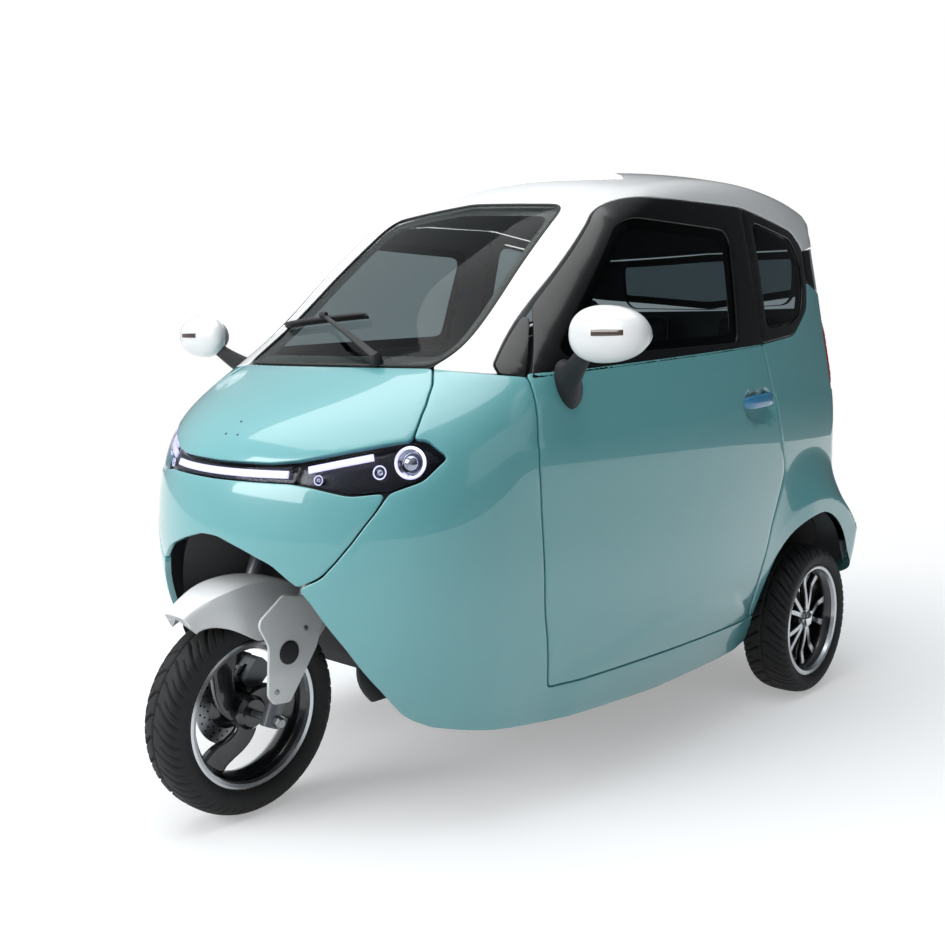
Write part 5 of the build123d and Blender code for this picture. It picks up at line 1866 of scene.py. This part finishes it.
@dataclass
class Wiper:
    """Single wiper parked across the lower left of the windscreen."""

    pivot: tuple[float, float] = (0.179, 0.992)
    elbow: tuple[float, float] = (-0.140, 1.088)
    blade: tuple[tuple[float, float], tuple[float, float]] = ((-0.335, 1.074), (0.010, 1.094))

    def build(self) -> None:
        """Cap, tapered arm, blade carrier and rubber."""
        shape = Shape()
        spot = BODY.lift(Chart.FRONT, np.array([self.pivot]))
        facing = BODY.normal(spot)[0]
        ends = spot[0] + facing * np.array([[0.0], [0.012], [0.020], [0.026]])
        shape.add(*sweep(ends, np.array([1.0, 0, 0]), circle(0.015, 24), np.array([1.0, 1.0, 0.9, 0.55])), 0)
        t = np.linspace(0, 1, 33)[:, None]
        line = np.array(self.pivot) * (1 - t) + np.array(self.elbow) * t
        base = BODY.lift(Chart.FRONT, line)
        height = 0.020 + 0.010 * np.sin(math.pi * t[:, 0])
        arm = base + BODY.normal(base) * height[:, None]
        wide = np.interp(t[:, 0], [0, 0.25, 1], [1.5, 1.25, 0.62])
        size = np.stack([wide, np.interp(t[:, 0], [0, 1], [1.2, 0.7])], -1)
        shape.add(*sweep(arm, facing, rounded_box_profile(0.013, 0.008, 0.003, 2), size), 0)
        t = np.linspace(0, 1, 41)[:, None]
        line = np.array(self.blade[0]) * (1 - t) + np.array(self.blade[1]) * t
        base = BODY.lift(Chart.FRONT, line)
        facing = BODY.normal(base)
        taper = np.sqrt(np.maximum(1 - (2 * t[:, 0] - 1) ** 8, 0.05))
        shape.add(*sweep(base + facing * 0.015, facing, rounded_box_profile(0.011, 0.010, 0.003, 2),
                         np.stack([taper, taper], -1)), 0)
        shape.add(*sweep(base + facing * 0.006, facing, rounded_box_profile(0.0025, 0.010, 0.001, 1)), 1)
        joint = arm[-1] + np.array([0, -0.002, 0.002])
        shape.add(*oval(joint, STRAIGHT, (0.012, 0.008, 0.008), 3.0, 12, 16), 0)
        shape.finish("wiper_arm", [STOCK["plastic"], STOCK["seal"]], "body", ["wiper"], "black_plastic")


@dataclass
class Cushion:
    """One upholstered pad: a box that swells between its corners, with sewn channels across it."""

    name: str
    centre: tuple[float, float, float]
    half: tuple[float, float, float]
    lean: float = 0.0
    channels: int = 4
    crown: float = 0.014
    groove: float = 0.006
    fill: float = 0.7
    square: float = 5.5

    def build(self, nodes: Sequence[str] = ()) -> bpy.types.Object:
        """Each point of a superellipsoid is pushed out by the crown, which is one at the
        middle of a face and nothing at its rim, and pulled in along each sewn channel.
        """
        turn = math.radians(self.lean)
        axes = np.array([[1, 0, 0], [0, math.cos(turn), math.sin(turn)], [0, -math.sin(turn), math.cos(turn)]])
        hx, hy, hz = self.half
        verts, faces = oval((0, 0, 0), STRAIGHT, (hx, hy, hz), self.square, 56, 120)
        u, v = verts[:, 0] / hx, verts[:, 1] / hy
        face = step_up((np.abs(verts[:, 2]) / hz - 0.55) / 0.35)
        rise = self.crown * (1 - u**2) * (1 - v**2) * face
        lanes = np.cos((v * self.channels / 2 + 0.5 * (self.channels % 2 == 0)) * math.pi)
        seam = np.exp(-((np.abs(lanes)) / 0.16) ** 2)
        seam *= step_up((0.86 - np.abs(u)) / 0.08) * step_up((0.92 - np.abs(v)) / 0.06)
        verts[:, 2] += np.sign(verts[:, 2]) * (rise - self.groove * seam * face)
        pinch = 1 - 0.018 * (1 - np.abs(verts[:, 2]) / hz)
        verts[:, :2] *= pinch[:, None]
        shape = Shape()
        shape.add(verts @ axes + np.array(self.centre), faces, 0)
        angle = np.linspace(0, 2 * math.pi, 121)[:-1]
        ca, sa = np.cos(angle), np.sin(angle)
        power = 2 / self.square
        across = hx * 0.992 * np.sign(ca) * np.abs(ca) ** power
        along = hy * 0.992 * np.sign(sa) * np.abs(sa) ** power
        path = np.stack([across, along, np.full_like(ca, hz * 0.42)], -1)
        path = resample(np.concatenate([path, path[:1]]), 0.012, True)
        shape.add(*sweep(path @ axes + np.array(self.centre), axes[2], circle(0.0032, 8), closed=True), 1)
        pad = shape.finish(self.name, [STOCK["cover"], STOCK["thread"]], "body", nodes, "seat_cover", sharp=70)
        return pad


@dataclass
class Cabin:
    """What shows through the glass and isn't a frame node: the seats and the handlebar's controls."""

    # Bases of the driver's seat and the bench: middle and half size
    bases: tuple[tuple[tuple[float, float, float], tuple[float, float, float]], ...] = (
        ((0, 0.085, 0.468), (0.200, 0.205, 0.018)),
        ((0, 0.745, 0.465), (0.335, 0.210, 0.034)),
    )

    def seats(self) -> None:
        """Driver's seat on its base and the rear bench with two headrests."""
        Cushion("driver_cushion", (0, 0.060, 0.535), (0.212, 0.190, 0.048), 3.0, 4).build(["front_seat"])
        Cushion("driver_back", (0, 0.318, 0.775), (0.205, 0.215, 0.040), 72.0, 5).build()
        Cushion("bench_cushion", (0, 0.700, 0.545), (0.345, 0.180, 0.050), 4.0, 4).build(["rear_seat"])
        Cushion("bench_back", (0, 0.965, 0.800), (0.345, 0.205, 0.038), 78.0, 5).build()
        for side, x in (("left", 0.190), ("right", -0.190)):
            Cushion(f"headrest_{side}", (x, 0.992, 1.072), (0.092, 0.062, 0.026), 84.0, 1, 0.006, 0.0).build()
        bases = Shape()
        for centre, half in self.bases:
            bases.add(*oval(centre, STRAIGHT, half, 9.0, 12, 48))
        t = np.linspace(0, 1, 9)[:, None]
        for x in (-0.225, -0.155, 0.155, 0.225):
            post = np.array([x, 0.990, 0.980]) * (1 - t) + np.array([x, 0.994, 1.055]) * t
            bases.add(*sweep(post, np.array([0, 1.0, 0]), circle(0.006, 12)))
        bases.finish("seat_bases", [STOCK["plastic"]], "body", slot="black_plastic", bevel=0.003)

    def grips(self) -> None:
        """Ribbed grips and levers on the handlebar, with its instrument pod."""
        low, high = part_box("handlebar")
        tip_x, tip_y = high[0], high[1]
        shape = Shape()
        t = np.linspace(0, 1, 41)
        for side in (1, -1):
            start = np.array([side * (tip_x - 0.004), tip_y - 0.010, low[2] + 0.012])
            inner = start + np.array([-side * 0.098, -0.076, 0.021])
            path = start[None] * (1 - t[:, None]) + inner[None] * t[:, None]
            size = 1 + 0.06 * np.cos(t * math.pi * 18)
            shape.add(*sweep(path, np.array([0, 0, 1.0]), circle(0.0165, 20), size), 0)
            lever = path[:28] + np.array([0, -0.040, 0.004]) + np.array([0, 0.012, 0]) * np.cos(
                t[:28, None] * math.pi)
            shape.add(*sweep(lever, np.array([0, 0, 1.0]), circle(0.006, 10), np.linspace(0.9, 1.2, 28)), 1)
        bar_y, pod_z = low[1], high[2]
        verts, faces = oval((0, bar_y + 0.010, pod_z + 0.012), STRAIGHT, (0.092, 0.042, 0.032), 3.4, 24, 40)
        shape.add(verts, faces, 2)
        screen = np.array([[-0.070, 0, 0], [0.070, 0, 0]]) + np.array([0, bar_y + 0.050, pod_z + 0.018])
        shape.add(*sweep(screen, np.array([0, 1.0, 0.5]), rounded_box_profile(0.040, 0.003, 0.001)), 3)
        finishes = [STOCK["seal"], STOCK["machined"], STOCK["plastic"], STOCK["gloss_black"]]
        shape.finish("handlebar_controls", finishes, "steering", slot="black_plastic")

    def build(self) -> None:
        """Seats and controls."""
        self.seats()
        self.grips()


DRESSING = {
    "chassis_frame": "frame_black",
    "floor_pan": "carpet",
    "rear_arch_liners": "plastic",
    "front_arch_liner": "plastic",
    "dashboard": "plastic",
    "battery_pack": "case_blue",
    "rear_axle": "frame_black",
    "rear_motor": "casting",
    "leaf_springs": "frame_black",
    "fork": "fork_grey",
    "handlebar": "frame_black",
    "brake_caliper": "casting",
}


def dress_frame() -> None:
    """Give every frame node that stays its procedural finish."""
    for name, finish in DRESSING.items():
        piece = frame["nodes"][name]
        piece.data.materials.clear()
        piece.data.materials.append(STOCK[finish])
        log.info("%s keeps its solid, dressed in %s", name, finish)


@dataclass
class Studio:
    """Pale floor, soft lights and the camera at the photograph's place."""

    camera_at: tuple[float, float, float] = (1.940, -2.312, 1.028)
    yaw: float = 131.696
    pitch: float = -6.787
    roll: float = 0.224
    focal_px: float = 1091.878
    frame_px: float = 945.0
    centre_px: tuple[float, float] = (473.602, 477.187)
    floor_z: float = -0.003
    floor_r: float = 14.0
    # Direction that the surroundings are brightest in
    bright_side: tuple[float, float, float] = (-0.50, -0.42, 0.76)
    # Soft lights. Columns: name, place, point aimed at, width and height, power in watts
    lights: tuple[tuple, ...] = (
        ("top light", (-0.5, -1.0, 4.2), (0, 0, 0.8), (4.0, 4.0), 115),
        ("front light", (-1.6, -4.6, 2.4), (0, -0.6, 0.7), (3.0, 2.0), 110),
        ("side light", (4.6, 0.4, 2.2), (0, 0.1, 0.7), (3.5, 1.6), 10),
        ("rim light", (-3.6, 3.2, 2.6), (0, 0.3, 0.8), (3.0, 2.0), 45),
    )

    def camera(self) -> None:
        """Camera whose place and lens were fitted to the wheels and the body in the photograph."""
        yaw, pitch, roll = (math.radians(a) for a in (self.yaw, self.pitch, self.roll))
        forward = Vector((math.cos(pitch) * math.cos(yaw), math.cos(pitch) * math.sin(yaw), math.sin(pitch)))
        right = forward.cross(Vector((0, 0, 1))).normalized()
        up = right.cross(forward)
        side = right * math.cos(roll) + up * math.sin(roll)
        top = up * math.cos(roll) - right * math.sin(roll)
        lens = bpy.data.cameras.new("camera")
        lens.sensor_fit, lens.sensor_width = "HORIZONTAL", 36.0
        lens.lens = self.focal_px / self.frame_px * 36.0
        lens.shift_x = (self.frame_px / 2 - self.centre_px[0]) / self.frame_px
        lens.shift_y = (self.centre_px[1] - self.frame_px / 2) / self.frame_px
        lens.clip_start, lens.clip_end = 0.05, 60
        place = bpy.data.objects.new("camera", lens)
        turn = Matrix((side, top, -forward)).transposed().to_4x4()
        place.matrix_world = Matrix.Translation(self.camera_at) @ turn
        bpy.context.scene.collection.objects.link(place)
        bpy.context.scene.camera = place

    def floor(self) -> None:
        """Wide flat pale floor, plain white far off to the eye and in glass and gloss, and grey to the object."""
        finish, tree, place = blank("pale painted studio floor")
        away = node(tree, "ShaderNodeVectorMath", {0: place}, operation="LENGTH").outputs["Value"]
        edge = node(tree, "ShaderNodeMapRange", {"Value": away}, interpolation_type="SMOOTHSTEP", From_Min=1.6,
                    From_Max=4.6)
        path = node(tree, "ShaderNodeLightPath")
        seen = node(tree, "ShaderNodeMath", {0: path.outputs["Is Camera Ray"], 1: path.outputs["Is Glossy Ray"]},
                    operation="MAXIMUM")
        seen = node(tree, "ShaderNodeMath", {0: seen.outputs[0], 1: path.outputs["Is Transmission Ray"]},
                    operation="MAXIMUM")
        far = node(tree, "ShaderNodeMath", {0: seen.outputs[0], 1: edge.outputs["Result"]}, operation="MULTIPLY")
        paint = node(tree, "ShaderNodeBsdfDiffuse", Color=linear("e4e5e6"), Roughness=0.9)
        white = node(tree, "ShaderNodeEmission", Color=(1, 1, 1, 1), Strength=1.0)
        lift = node(tree, "ShaderNodeEmission", {"Strength": seen.outputs[0]}, Color=linear("9a9a9a"))
        near = node(tree, "ShaderNodeAddShader", {0: paint.outputs[0], 1: lift.outputs[0]})
        both = node(tree, "ShaderNodeMixShader", {0: far.outputs[0], 1: near.outputs[0], 2: white.outputs[0]})
        node(tree, "ShaderNodeOutputMaterial", {"Surface": both.outputs[0]})
        rim = np.array([(self.floor_z, 0.001), (self.floor_z, self.floor_r)])
        verts, faces = revolve(rim, (0, 0, 0), 64, "z", closed=False)
        mesh = bpy.data.meshes.new("floor")
        mesh.from_pydata(verts.tolist(), [], faces[0].tolist())
        mesh.materials.append(finish)
        piece = bpy.data.objects.new("floor", mesh)
        bpy.context.scene.collection.objects.link(piece)

    def world(self) -> None:
        """Grey surroundings, brightest towards one side, to light the object and to show in gloss; plain white to the
        eye and through glass.
        """
        world = bpy.data.worlds.new("studio")
        world.use_nodes = True
        tree = world.node_tree
        tree.nodes.clear()
        place = node(tree, "ShaderNodeTexCoord").outputs["Generated"]
        turned = node(tree, "ShaderNodeVectorMath", {0: place}, operation="DOT_PRODUCT")
        turned.inputs[1].default_value = self.bright_side
        ramp = node(tree, "ShaderNodeValToRGB", {"Fac": turned.outputs["Value"]})
        ramp.color_ramp.elements[0].position = 0.0
        ramp.color_ramp.elements[0].color = linear("55585b")
        ramp.color_ramp.elements[1].position = 0.90
        ramp.color_ramp.elements[1].color = linear("e8edf1")
        soft = node(tree, "ShaderNodeBackground", {"Color": ramp.outputs["Color"]}, Strength=0.85)
        bright = node(tree, "ShaderNodeBackground", Color=(1, 1, 1, 1), Strength=1.0)
        path = node(tree, "ShaderNodeLightPath")
        seen = node(tree, "ShaderNodeMixShader", {0: path.outputs["Is Camera Ray"], 1: soft.outputs[0],
                                                  2: bright.outputs[0]})
        node(tree, "ShaderNodeOutputWorld", {"Surface": seen.outputs[0]})
        bpy.context.scene.world = world

    def lamp(
        self, name: str, at: Sequence[float], aim: Sequence[float], size: tuple[float, float], power: float
    ) -> None:
        """Soft rectangular light at a place, turned towards a point."""
        light = bpy.data.lights.new(name, "AREA")
        light.shape, light.size, light.size_y, light.energy = "RECTANGLE", size[0], size[1], power
        place = bpy.data.objects.new(name, light)
        turn = (Vector(aim) - Vector(at)).to_track_quat("-Z", "Y").to_matrix().to_4x4()
        place.matrix_world = Matrix.Translation(at) @ turn
        bpy.context.scene.collection.objects.link(place)

    def build(self) -> None:
        """Camera, floor, world and lights."""
        self.camera()
        self.floor()
        self.world()
        for light in self.lights:
            self.lamp(*light)
        bpy.context.scene.view_settings.view_transform = "Standard"


def main() -> None:
    """Build the vehicle's looks in order, then the studio."""
    logging.basicConfig(level=logging.INFO, format="%(message)s")
    Studio().build()
    CabPanels().build()
    Glazing().build()
    Lamps().build()
    Doors().build()
    for side, sign in (("left", 1), ("right", -1)):
        centre = (sign * REAR_AXLE[0], REAR_AXLE[1], REAR_AXLE[2])
        nodes = (f"rear_tyre_{side}", f"rear_rim_{side}")
        Wheel(f"rear_{side}", f"rear_wheel_{side}", centre, *REAR_TYRE, nodes, sign).rear()
    Wheel("front", "front_wheel", FRONT_AXLE, *FRONT_TYRE, ("front_tyre", "front_rim")).front()
    FrontEnd().build()
    Wiper().build()
    Cabin().build()
    dress_frame()


if __name__ == "__main__":
    main()
